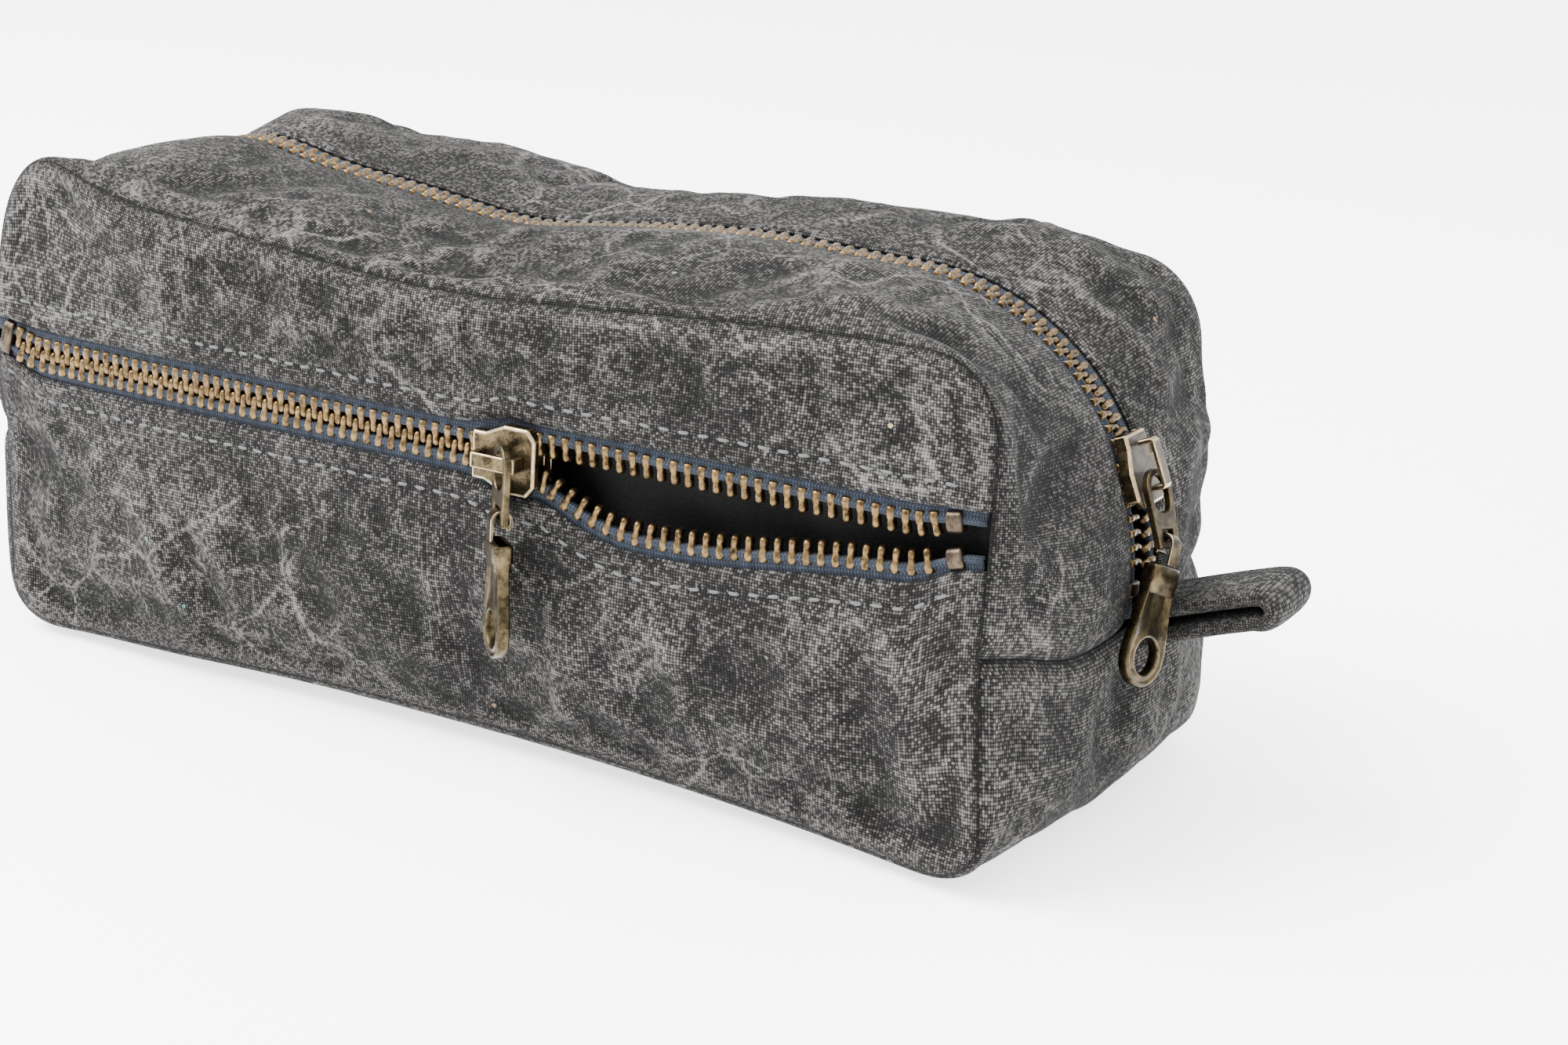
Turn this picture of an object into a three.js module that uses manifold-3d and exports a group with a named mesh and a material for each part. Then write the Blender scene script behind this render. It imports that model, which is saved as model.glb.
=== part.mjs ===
// A canvas shaving kit bag: a boxy zipped pouch with a zipped front pocket.
// Millimetres, +Z up, the floor at Z = 0, +X towards the end where the main slider is parked,
// and -Y towards the pocket.
import * as THREE from 'three';
import Module from 'manifold-3d';
import { mergeVertices } from 'three/addons/utils/BufferGeometryUtils.js';

const wasm = await Module();
wasm.setup();

// Driving dimensions of the bag.
const bodyLength = 206;
const bodyWidth = 97;
const seamHeight = 86;
const endBulge = 6.5;
const crown = 1.5;
const canvas = 1.0;
const liningThickness = 0.5;
const gap = 0.3;
const tabSeamHeight = 34;
const seamTopRadius = 14;
const seamBottomRadius = 10;
const zipCornerRadius = 46;
const floorRise = 22;
const floorRun = 18;

// Driving dimensions of both zips.
const toothPitch = 2.5;
const toothWidth = 0.9;
const chainHalf = 2.95;
const beadInner = 1.6;
const toothReach = 0.6;
const toothTop = 0.4;
const toothBottom = 2.7;
const slotHalf = 5.9;
const tapeDepth = 1.3;
const tapeThickness = 0.5;
const tapeHalf = 12;
const chainDepth = (toothTop + toothBottom) / 2;

// The pocket.
const pocketZipHeight = 55;
const pocketSliderX = 18;
const pocketLineHalf = 100;
const pocketTeethStart = 5.5;
const pocketTeeth = 76;
const partedHalf = 1.9;
const mouthDip = 7.0;
const mouthDipX = 42;
const mouthEndX = 95.5;
const pocketDepth = 9;
const pocketHalf = 100.5;
const pocketFloor = 9;
const pocketRoof = 68;

// The main slider's place on its corner arc, in degrees above the arc's centre.
const sliderAngle = 23;

// Sliders and pulls.
const sliderLength = 12;
const sliderRearHalf = 4.0;
const sliderMouthHalf = 5.6;
const plateLow = 1.85;
const sliderWall = 1.2;
const tapeSlitHalf = 0.85;
const strapWidth = 2.5;
const linkThickness = 1.2;
const linkWidth = 7.2;
const linkLength = 12.5;
const pullPlateLength = 19.5;
const pullPlateWidth = 9.8;
const pullPlateThickness = 1.9;
const pullHoleRadius = 3.0;
const pocketPullTurn = -40;
const mainPullTurn = 74;
const mainLinkTurn = 82;
const mainLinkLean = 13;
const mainPlateLean = 22;

const halfLength = bodyLength / 2;
const halfWidth = bodyWidth / 2;

const group = new THREE.Group();
group.name = 'shaving_kit_bag';

// Materials and small helpers.

const canvasMaterial = { color: 0x4a494b, roughness: 0.95, metalness: 0 };
const liningMaterial = { color: 0x0f0f11, roughness: 0.8, metalness: 0 };
const tapeMaterial = { color: 0x3a4250, roughness: 0.9, metalness: 0 };
const brassMaterial = { color: 0x6d5a3c, roughness: 0.4, metalness: 1 };
const toothMaterial = { color: 0x94764a, roughness: 0.4, metalness: 1 };
const stopMaterial = { color: 0x8d8276, roughness: 0.45, metalness: 1 };

function named(name, geometry, finish) {
  const mesh = new THREE.Mesh(geometry, new THREE.MeshStandardMaterial(finish));
  mesh.name = name;
  return mesh;
}

// Joins quads and triangles, given as arrays of points, into one closed geometry facing out.
function closedGeometry(faces) {
  const positions = [];
  for (const face of faces) {
    for (let k = 2; k < face.length; k += 1) {
      positions.push(...face[0].toArray(), ...face[k - 1].toArray(), ...face[k].toArray());
    }
  }
  let volume = 0;
  const a = new THREE.Vector3();
  const b = new THREE.Vector3();
  const c = new THREE.Vector3();
  for (let i = 0; i < positions.length; i += 9) {
    a.fromArray(positions, i);
    b.fromArray(positions, i + 3);
    c.fromArray(positions, i + 6);
    volume += a.dot(b.cross(c));
  }
  if (volume < 0) {
    for (let i = 0; i < positions.length; i += 9) {
      for (let k = 0; k < 3; k += 1) {
        [positions[i + 3 + k], positions[i + 6 + k]] = [positions[i + 6 + k], positions[i + 3 + k]];
      }
    }
  }
  const geometry = new THREE.BufferGeometry();
  geometry.setAttribute('position', new THREE.Float32BufferAttribute(positions, 3));
  return mergeVertices(geometry, 1e-4);
}

// A closed shell between an outer and an inner grid of points, outer[i][j] and inner[i][j].
function shellGeometry(outer, inner) {
  const faces = [];
  const rows = outer.length - 1;
  const columns = outer[0].length - 1;
  for (let i = 0; i < rows; i += 1) {
    for (let j = 0; j < columns; j += 1) {
      faces.push([outer[i][j], outer[i + 1][j], outer[i + 1][j + 1], outer[i][j + 1]]);
      faces.push([inner[i][j], inner[i][j + 1], inner[i + 1][j + 1], inner[i + 1][j]]);
    }
    faces.push([outer[i][0], inner[i][0], inner[i + 1][0], outer[i + 1][0]]);
    faces.push([outer[i][columns], outer[i + 1][columns], inner[i + 1][columns], inner[i][columns]]);
  }
  for (let j = 0; j < columns; j += 1) {
    faces.push([outer[0][j], outer[0][j + 1], inner[0][j + 1], inner[0][j]]);
    faces.push([outer[rows][j], inner[rows][j], inner[rows][j + 1], outer[rows][j + 1]]);
  }
  return closedGeometry(faces);
}

function extruded(outline, depth, bevel = 0) {
  const shape = Array.isArray(outline) ? new THREE.Shape(outline) : outline;
  return new THREE.ExtrudeGeometry(shape, {
    depth: depth - 2 * bevel,
    bevelEnabled: bevel > 0,
    bevelSize: bevel,
    bevelThickness: bevel,
    bevelOffset: -bevel,
    bevelSegments: 1,
    curveSegments: 8,
  }).translate(0, 0, bevel);
}

function toSolid(geometry) {
  const bare = geometry.clone();
  bare.deleteAttribute('normal');
  bare.deleteAttribute('uv');
  const merged = mergeVertices(bare, 1e-5);
  return new wasm.Manifold(new wasm.Mesh({
    numProp: 3,
    vertProperties: new Float32Array(merged.attributes.position.array),
    triVerts: new Uint32Array(merged.index.array),
  }));
}

function toGeometry(solid) {
  const mesh = solid.getMesh();
  const geometry = new THREE.BufferGeometry();
  geometry.setAttribute('position', new THREE.BufferAttribute(mesh.vertProperties, 3));
  geometry.setIndex(new THREE.BufferAttribute(mesh.triVerts, 1));
  return geometry;
}

function box(x0, x1, y0, y1, z0, z1) {
  const geometry = new THREE.BoxGeometry(x1 - x0, y1 - y0, z1 - z0);
  return toSolid(geometry.translate((x0 + x1) / 2, (y0 + y1) / 2, (z0 + z1) / 2));
}

// The gusset's shape.

// One half of an outline of the end and top, from the middle of the top to the tab seam.
function topOutline(endX, topZ, radius, count) {
  const path = new THREE.Path();
  path.moveTo(0, topZ);
  path.lineTo(endX - radius, topZ);
  path.absarc(endX - radius, topZ - radius, radius, Math.PI / 2, 0, true);
  path.lineTo(endX, tabSeamHeight + gap / 2);
  return path.getSpacedPoints(count);
}

// One half of an outline of the end and floor, from the tab seam to the middle of the floor.
function baseOutline(endX, run, rise, count) {
  const path = new THREE.Path();
  path.moveTo(endX, tabSeamHeight - gap / 2);
  path.lineTo(endX, rise);
  path.absellipse(endX - run, rise, run, rise, 0, -Math.PI / 2, true);
  path.lineTo(0, 0);
  return path.getSpacedPoints(count);
}

// Puts a half outline and its mirror image together, from the -X end to the +X end.
function bothHalves(half, topFirst) {
  const right = topFirst ? half : [...half].reverse();
  const left = right.slice(1).reverse().map((p) => new THREE.Vector2(-p.x, p.y));
  return [...left, ...right];
}

// The outline at a distance y from the middle: the zip's line over the tapes, the seam's at halfWidth.
function outlineAt(y, zipLine, seamLine) {
  const share = (Math.max(Math.abs(y) - tapeHalf, 0) / (halfWidth - tapeHalf)) ** 2;
  return zipLine.map((p, i) => p.clone().lerp(seamLine[i], share));
}

// Moves an outline inwards by a depth, square to itself.
function inset(line, depth) {
  return line.map((p, i) => {
    const before = line[Math.max(i - 1, 0)];
    const after = line[Math.min(i + 1, line.length - 1)];
    const along = after.clone().sub(before).normalize();
    const outward = new THREE.Vector2(-along.y, along.x);
    if (i === 0 || i === line.length - 1) {
      outward.set(Math.sign(outward.x), 0);
    }
    return p.clone().addScaledVector(outward, -depth);
  });
}

// A strip of the gusset between two distances from the middle and two depths.
function gussetStrip(ys, zipLine, seamLine, depthOuter, depthInner, inward = 1) {
  const grid = (depth) => ys.map((y) => inset(outlineAt(y, zipLine, seamLine), depth * inward)
    .map((p) => new THREE.Vector3(p.x, y, p.y)));
  return shellGeometry(grid(depthOuter), grid(depthInner));
}

const topSteps = 22;
const topZipLine = bothHalves(
  topOutline(halfLength + endBulge, seamHeight + crown, zipCornerRadius, topSteps), true);
const topSeamLine = bothHalves(topOutline(halfLength, seamHeight, seamTopRadius, topSteps), true);
const baseSteps = 13;
const baseZipLine = bothHalves(
  baseOutline(halfLength + endBulge, floorRun, floorRise, baseSteps), false);
const baseSeamLine = bothHalves(
  baseOutline(halfLength, seamBottomRadius, seamBottomRadius, baseSteps), false);

const seamEdge = halfWidth - canvas - gap;
const stripEdges = [slotHalf, tapeHalf, 24, 36, seamEdge];
const frontEdges = stripEdges.map((y) => -y).reverse();

group.add(named('top_gusset_front',
  gussetStrip(frontEdges, topZipLine, topSeamLine, 0, canvas), canvasMaterial));
group.add(named('top_gusset_back',
  gussetStrip(stripEdges, topZipLine, topSeamLine, 0, canvas), canvasMaterial));
const baseEdges = [-seamEdge, -36, -24, -tapeHalf, tapeHalf, 24, 36, seamEdge];
group.add(named('base_gusset',
  gussetStrip(baseEdges, baseZipLine, baseSeamLine, 0, canvas, -1), canvasMaterial));

// Front and back panels.

const cornerSteps = 6;

function arcPoints(centreX, centreY, radius, from, to) {
  const points = [];
  for (let i = 0; i <= cornerSteps; i += 1) {
    const angle = THREE.MathUtils.degToRad(from + (to - from) * i / cornerSteps);
    points.push(new THREE.Vector2(centreX + radius * Math.cos(angle), centreY + radius * Math.sin(angle)));
  }
  return points;
}

function bottomEdge() {
  const x = halfLength - seamBottomRadius;
  return [...arcPoints(-x, seamBottomRadius, seamBottomRadius, 180, 270),
    ...arcPoints(x, seamBottomRadius, seamBottomRadius, 270, 360)];
}

function topEdge() {
  const x = halfLength - seamTopRadius;
  const z = seamHeight - seamTopRadius;
  return [...arcPoints(x, z, seamTopRadius, 0, 90), ...arcPoints(-x, z, seamTopRadius, 90, 180)];
}

// A panel drawn in X and Z, standing with its outer face at outerY and its thickness inwards.
function uprightPanel(outline, outerY, thickness) {
  const geometry = extruded(outline, thickness);
  geometry.rotateX(Math.PI / 2);
  geometry.translate(0, outerY < 0 ? outerY + thickness : outerY, 0);
  return geometry;
}

group.add(named('back_panel',
  uprightPanel([...bottomEdge(), ...topEdge()], halfWidth, canvas), canvasMaterial));

// How far one row of pocket teeth stands off the closed line where the slider parts it.
function parting(x) {
  return partedHalf * THREE.MathUtils.smoothstep(x, pocketSliderX - 4, pocketSliderX + 0.5);
}

// How far the lower edge of the pocket's mouth hangs below the closed line at x.
function mouthDrop(x) {
  const parted = parting(x);
  const sag = mouthDip - partedHalf;
  const start = pocketSliderX + sliderLength / 2 + 0.5;
  if (x <= start || x >= mouthEndX) {
    return parted;
  }
  if (x < mouthDipX) {
    return parted + sag * Math.sin((x - start) / (mouthDipX - start) * Math.PI / 2);
  }
  return parted + sag * Math.cos((x - mouthDipX) / (mouthEndX - mouthDipX) * Math.PI / 2);
}

const lowerEdge = [];
const mouthSteps = 28;
for (let i = 0; i <= mouthSteps; i += 1) {
  const x = halfLength - bodyLength * i / mouthSteps;
  lowerEdge.push(new THREE.Vector2(x, pocketZipHeight - slotHalf - (mouthDrop(x) - parting(x))));
}
const upperEdge = [
  new THREE.Vector2(-halfLength, pocketZipHeight + slotHalf),
  new THREE.Vector2(halfLength, pocketZipHeight + slotHalf),
];

group.add(named('front_lower_panel',
  uprightPanel([...bottomEdge(), ...lowerEdge], -halfWidth, canvas), canvasMaterial));
group.add(named('front_upper_panel',
  uprightPanel([...upperEdge, ...topEdge()], -halfWidth, canvas), canvasMaterial));

// Zip tapes and teeth.

// A straight or curved line that a zip follows: at(s) gives its point and outward direction.
const pocketLine = {
  length: 2 * pocketLineHalf,
  at: (s) => ({
    point: new THREE.Vector3(s - pocketLineHalf, -halfWidth, pocketZipHeight),
    outward: new THREE.Vector3(0, -1, 0),
    across: new THREE.Vector3(0, 0, 1),
  }),
};

const arcCentreX = halfLength + endBulge - zipCornerRadius;
const arcCentreZ = seamHeight + crown - zipCornerRadius;
const endDrop = arcCentreZ - tabSeamHeight - 2;
const arcLength = zipCornerRadius * Math.PI / 2;

const mainLine = {
  length: 2 * (arcCentreX + arcLength + endDrop),
  at: (s) => {
    const fromMiddle = s - (arcCentreX + arcLength + endDrop);
    const side = Math.sign(fromMiddle);
    const run = Math.abs(fromMiddle);
    const angle = THREE.MathUtils.clamp((run - arcCentreX) / zipCornerRadius, 0, Math.PI / 2);
    const down = Math.max(run - arcCentreX - arcLength, 0);
    const x = Math.min(run, arcCentreX) + zipCornerRadius * Math.sin(angle);
    const z = arcCentreZ + zipCornerRadius * Math.cos(angle) - down;
    return {
      point: new THREE.Vector3(side * x, 0, z),
      outward: new THREE.Vector3(side * Math.sin(angle), 0, Math.cos(angle)),
      across: new THREE.Vector3(0, 1, 0),
    };
  },
};

// The point of a zip line at s, moved across the zip and inwards from the bag's surface.
function onLine(line, s, across, depth) {
  const frame = line.at(s);
  return frame.point.clone()
    .addScaledVector(frame.across, across)
    .addScaledVector(frame.outward, -depth);
}

// One row of teeth on its bead, as a comb. side is +1 or -1, offset(s) is how far it has parted.
function toothRow(line, side, start, count, offset) {
  const faces = [];
  const place = (s, across, depth) => onLine(line, s, side * (across + offset(s)), depth);
  const tooth = (i) => {
    const s0 = start + toothPitch * i - toothWidth / 2;
    const s1 = s0 + toothWidth;
    return [toothTop, toothBottom].map((depth) => ({
      outer: place(s0, chainHalf, depth),
      outerEnd: place(s1, chainHalf, depth),
      bead0: place(s0, beadInner, depth),
      bead1: place(s1, beadInner, depth),
      tip0: place(s0, -toothReach, depth),
      tip1: place(s1, -toothReach, depth),
    }));
  };
  for (let i = 0; i < count; i += 1) {
    const [top, bottom] = tooth(i);
    const last = i === count - 1;
    faces.push([top.bead0, top.tip0, top.tip1, top.bead1]);
    faces.push([bottom.bead1, bottom.tip1, bottom.tip0, bottom.bead0]);
    faces.push([top.bead0, bottom.bead0, bottom.tip0, top.tip0]);
    faces.push([top.tip0, bottom.tip0, bottom.tip1, top.tip1]);
    faces.push([top.tip1, bottom.tip1, bottom.bead1, top.bead1]);
    if (i === 0) {
      faces.push([top.outer, bottom.outer, bottom.bead0, top.bead0]);
    }
    if (last) {
      faces.push([top.outer, top.bead0, top.bead1], [top.outer, top.bead1, top.outerEnd]);
      faces.push([bottom.outer, bottom.bead1, bottom.bead0], [bottom.outer, bottom.outerEnd, bottom.bead1]);
      faces.push([top.outerEnd, bottom.outerEnd, bottom.outer, top.outer]);
      faces.push([top.bead1, bottom.bead1, bottom.outerEnd, top.outerEnd]);
    } else {
      const [nextTop, nextBottom] = tooth(i + 1);
      faces.push([top.outer, top.bead0, top.bead1]);
      faces.push([top.outer, top.bead1, nextTop.bead0]);
      faces.push([top.outer, nextTop.bead0, nextTop.outer]);
      faces.push([bottom.outer, bottom.bead1, bottom.bead0]);
      faces.push([bottom.outer, nextBottom.bead0, bottom.bead1]);
      faces.push([bottom.outer, nextBottom.outer, nextBottom.bead0]);
      faces.push([nextTop.outer, nextBottom.outer, bottom.outer, top.outer]);
      faces.push([top.bead1, bottom.bead1, nextBottom.bead0, nextTop.bead0]);
    }
  }
  return closedGeometry(faces);
}

// Places along a tape, close together where the slider parts it.
function stations(from, to, sliderS) {
  const near = (s) => Math.abs(s - sliderS + 1.5) < 5;
  const places = [];
  for (let s = from; s < to; s += near(s) ? 0.8 : 5) {
    places.push(s);
  }
  return [...places, to];
}

// A flat tape under the canvas beside a row of teeth, through a list of places along the line.
function tapeStrip(line, side, places, offset) {
  const grid = (depth) => places.map((s) => [chainHalf + gap, tapeHalf]
    .map((across) => onLine(line, s, side * (across + offset(s)), depth)));
  return shellGeometry(grid(tapeDepth), grid(tapeDepth + tapeThickness));
}

// A block of metal clamped over a row past its last tooth, between two distances across.
function stop(line, side, s, halfLong, offset, reach) {
  const place = (ds, across, depth) => onLine(line, s + ds, side * (across + offset), depth);
  const grid = (depth) => [-halfLong, halfLong].map((ds) => reach.map((across) => place(ds, across, depth)));
  return shellGeometry(grid(toothTop - 0.2), grid(toothBottom + 0.2));
}

const pocketUp = (s) => parting(s - pocketLineHalf);
const pocketDown = (s) => mouthDrop(s - pocketLineHalf);
const tapeEnd = 1.5;
const pocketPlaces = stations(-tapeEnd, pocketLine.length + tapeEnd, pocketLineHalf + pocketSliderX);
const pocketStopStart = pocketTeethStart - 2.4;
const pocketStopEnd = pocketTeethStart + toothPitch * (pocketTeeth - 0.5) + 2.0;
const stopReach = [-0.2, chainHalf];

group.add(named('pocket_tape_upper',
  tapeStrip(pocketLine, 1, pocketPlaces, pocketUp), tapeMaterial));
group.add(named('pocket_tape_lower',
  tapeStrip(pocketLine, -1, pocketPlaces, pocketDown), tapeMaterial));
group.add(named('pocket_teeth_upper',
  toothRow(pocketLine, 1, pocketTeethStart, pocketTeeth, pocketUp), toothMaterial));
group.add(named('pocket_teeth_lower',
  toothRow(pocketLine, -1, pocketTeethStart + toothPitch / 2, pocketTeeth - 1, pocketDown), toothMaterial));
group.add(named('pocket_top_stop_upper',
  stop(pocketLine, 1, pocketStopEnd, 1.0, partedHalf, stopReach), stopMaterial));
group.add(named('pocket_top_stop_lower',
  stop(pocketLine, -1, pocketStopEnd, 1.0, partedHalf, stopReach), stopMaterial));
group.add(named('pocket_bottom_stop',
  stop(pocketLine, 1, pocketStopStart, 1.1, 0, [-chainHalf, chainHalf]), stopMaterial));

// The main slider's place along its line, measured from the -X end.
const mainSliderS = arcCentreX * 2 + arcLength + endDrop
  + zipCornerRadius * THREE.MathUtils.degToRad(90 - sliderAngle);
const mainTeethStart = 4.5;
const mainTeeth = 109;
const mainParting = (s) => partedHalf * THREE.MathUtils.smoothstep(s, mainSliderS - 4, mainSliderS + 0.5);
const mainStopEnd = mainTeethStart + toothPitch * (mainTeeth - 0.5) + 2.0;
const mainPlaces = stations(0, mainLine.length, mainSliderS);

group.add(named('main_tape_back',
  tapeStrip(mainLine, 1, mainPlaces, mainParting), tapeMaterial));
group.add(named('main_tape_front',
  tapeStrip(mainLine, -1, mainPlaces, mainParting), tapeMaterial));
group.add(named('main_teeth_back',
  toothRow(mainLine, 1, mainTeethStart, mainTeeth, mainParting), toothMaterial));
group.add(named('main_teeth_front',
  toothRow(mainLine, -1, mainTeethStart + toothPitch / 2, mainTeeth - 1, mainParting), toothMaterial));
group.add(named('main_top_stop_back',
  stop(mainLine, 1, mainStopEnd, 1.0, partedHalf, stopReach), stopMaterial));
group.add(named('main_top_stop_front',
  stop(mainLine, -1, mainStopEnd, 1.0, partedHalf, stopReach), stopMaterial));
group.add(named('main_bottom_stop',
  stop(mainLine, 1, mainTeethStart - 2.4, 1.1, 0, [-chainHalf, chainHalf]), stopMaterial));

// Linings.

// A closed solid through loops of points, one loop for each y.
function loftGeometry(ys, loopAt) {
  const loops = ys.map((y) => loopAt(y).map((p) => new THREE.Vector3(p.x, y, p.y)));
  const faces = [];
  for (let i = 0; i + 1 < loops.length; i += 1) {
    loops[i].forEach((p, k) => {
      const next = (k + 1) % loops[i].length;
      faces.push([p, loops[i + 1][k], loops[i + 1][next], loops[i][next]]);
    });
  }
  const cap = (loop) => {
    const flat = loop.map((p) => new THREE.Vector2(p.x, p.z));
    const turn = Math.sign(THREE.ShapeUtils.area(flat));
    return THREE.ShapeUtils.triangulateShape(flat, [])
      .map((triangle) => {
        const same = Math.sign(THREE.ShapeUtils.area(triangle.map((k) => flat[k]))) === turn;
        return (same ? triangle : [...triangle].reverse()).map((k) => loop[k]);
      });
  };
  faces.push(...cap(loops[0]));
  faces.push(...cap(loops[loops.length - 1]).map((triangle) => triangle.reverse()));
  return closedGeometry(faces);
}

function insideLoop(depth) {
  return (y) => [...inset(outlineAt(y, topZipLine, topSeamLine), depth),
    ...inset(outlineAt(y, baseZipLine, baseSeamLine), -depth).reverse()];
}

const liningDepth = tapeDepth + tapeThickness + gap;
const liningFront = -halfWidth + pocketDepth + 0.3 + gap;
const liningBack = halfWidth - canvas - gap;
const liningRows = (inner) => {
  const front = liningFront + (inner ? liningThickness : 0);
  const back = liningBack - (inner ? liningThickness : 0);
  return [front, -24, -tapeHalf, tapeHalf, 30, back];
};
const liningOuter = toSolid(loftGeometry(liningRows(false), insideLoop(liningDepth)));
const liningInner = toSolid(loftGeometry(liningRows(true), insideLoop(liningDepth + liningThickness)));
const liningSlotHalf = slotHalf + gap;
const liningSlot = toSolid(gussetStrip([-liningSlotHalf, liningSlotHalf], topZipLine, topSeamLine, -3, 8));
group.add(named('main_lining',
  toGeometry(liningOuter.subtract(liningInner).subtract(liningSlot)), liningMaterial));

const pouchFront = -halfWidth + liningDepth;
const pouchBack = -halfWidth + pocketDepth;
const pouchSlotLow = pocketZipHeight - 15;
const pouchSlotHigh = pocketZipHeight + slotHalf + partedHalf;
const pouch = box(-pocketHalf, pocketHalf, pouchFront, pouchBack, pocketFloor, pocketRoof)
  .subtract(box(-pocketHalf + liningThickness, pocketHalf - liningThickness, pouchFront + liningThickness,
    pouchBack - liningThickness, pocketFloor + liningThickness, pocketRoof - liningThickness))
  .subtract(box(-pocketHalf + 2, pocketHalf - 2, pouchFront - 1, pouchFront + liningThickness + 1,
    pouchSlotLow, pouchSlotHigh));
group.add(named('pocket_lining', toGeometry(pouch), liningMaterial));

// Tab loops.

const tabLength = 26;
const tabWidth = 20;
const tabLayer = 2.7;
const tabGap = 1.2;
const tabMiddleY = 8.8;
const tabRise = 14;

// A folded band of canvas: two layers joined by a round fold at the far end.
function tabLoop(name, side) {
  const outer = tabLayer + tabGap / 2;
  const outline = new THREE.Shape();
  outline.moveTo(0, outer);
  outline.lineTo(tabLength - outer, outer);
  outline.absarc(tabLength - outer, 0, outer, Math.PI / 2, -Math.PI / 2, true);
  outline.lineTo(0, -outer);
  outline.lineTo(0, -tabGap / 2);
  outline.lineTo(tabLength - outer, -tabGap / 2);
  outline.absarc(tabLength - outer, 0, tabGap / 2, -Math.PI / 2, Math.PI / 2, false);
  outline.lineTo(0, tabGap / 2);
  const geometry = extruded(outline, tabWidth).rotateX(Math.PI / 2).translate(0, tabWidth / 2, 0);
  const mesh = named(name, geometry, canvasMaterial);
  mesh.rotation.y = -THREE.MathUtils.degToRad(tabRise);
  const turned = new THREE.Group();
  turned.add(mesh);
  turned.rotation.z = side > 0 ? 0 : Math.PI;
  turned.position.set(side * (halfLength + endBulge + 1.3), side * tabMiddleY, tabSeamHeight);
  return turned;
}

group.add(tabLoop('tab_loop_right', 1));
group.add(tabLoop('tab_loop_left', -1));

// Sliders and their pulls.

const strapEndX = 4.0;
const strapFoot = 0.9;
const flangeDepth = 1.0;
const postFrom = 0.8;
const postTo = 4.6;
const postHalf = 0.9;
const springX = -2.7;
const springLength = 1.3;
const springWidth = 1.4;
const springThickness = 0.3;
const plateTop = plateLow + sliderWall + 0.1;
const strapRoofLow = plateTop + 2.4;
const strapRoofTop = strapRoofLow + 0.8;

// Half of a slider's outline, wide at the mouth (+X), then its mirror image.
function sliderOutline(rearHalf, mouthHalf, extra) {
  const half = sliderLength / 2 + extra;
  const lower = [[-half, rearHalf], [-3.6, rearHalf], [0, mouthHalf], [half - 1.5, mouthHalf]]
    .map(([x, y]) => new THREE.Vector2(x, -y));
  if (extra === 0) {
    lower.push(new THREE.Vector2(half, -mouthHalf + 1.8));
  } else {
    lower.push(new THREE.Vector2(half, -mouthHalf));
  }
  return [...lower, ...[...lower].reverse().map((p) => new THREE.Vector2(p.x, -p.y))];
}

// The slider's own frame: X towards its mouth, Y across the teeth, Z away from the bag.
function sliderBody() {
  const high = plateTop;
  const low = plateLow + flangeDepth;
  const body = toSolid(extruded(sliderOutline(sliderRearHalf, sliderMouthHalf, 0), high + low, 0.3)
    .translate(0, 0, -low));
  const channel = toSolid(extruded(
    sliderOutline(chainHalf + 0.4, chainHalf + partedHalf + gap, 2), 2 * plateLow)
    .translate(0, 0, -plateLow));
  const slitHalf = 2 * sliderMouthHalf;
  const tapeSlit = box(-sliderLength, sliderLength, -slitHalf, slitHalf, -tapeSlitHalf, tapeSlitHalf);
  const post = box(postFrom, postTo, -postHalf, postHalf, -plateLow - 0.5, plateLow + 0.5);
  return toGeometry(body.subtract(channel).subtract(tapeSlit).add(post));
}

// The arched strap over the slider that the link passes through.
function sliderStrap() {
  const outline = new THREE.Shape([
    new THREE.Vector2(-strapEndX - 0.5, plateTop + gap),
    new THREE.Vector2(-strapEndX - 0.5 + strapFoot, plateTop + gap),
    new THREE.Vector2(-strapEndX - 0.5 + strapFoot, strapRoofLow),
    new THREE.Vector2(strapEndX - strapFoot, strapRoofLow),
    new THREE.Vector2(strapEndX - strapFoot, plateTop + gap),
    new THREE.Vector2(strapEndX, plateTop + gap),
    new THREE.Vector2(strapEndX, strapRoofTop - 0.5),
    new THREE.Vector2(strapEndX - 0.5, strapRoofTop),
    new THREE.Vector2(-strapEndX, strapRoofTop),
    new THREE.Vector2(-strapEndX - 0.5, strapRoofTop - 0.5),
  ]);
  return extruded(outline, strapWidth).rotateX(Math.PI / 2).translate(0, strapWidth / 2, 0);
}

// The small leaf spring that locks the slider, under the rear of the strap.
function lockSpring() {
  return new THREE.BoxGeometry(springLength, springWidth, springThickness)
    .translate(springX, 0, strapRoofLow - gap - springThickness / 2);
}

const linkBar = 1.1;
const linkWindowWidth = 3.4;
const linkWindowHeight = 1.9;
const linkWindowGap = 0.05;
const linkOvalLength = 6.4;
const linkLowerBarY = -linkLength + linkBar / 2;

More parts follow.
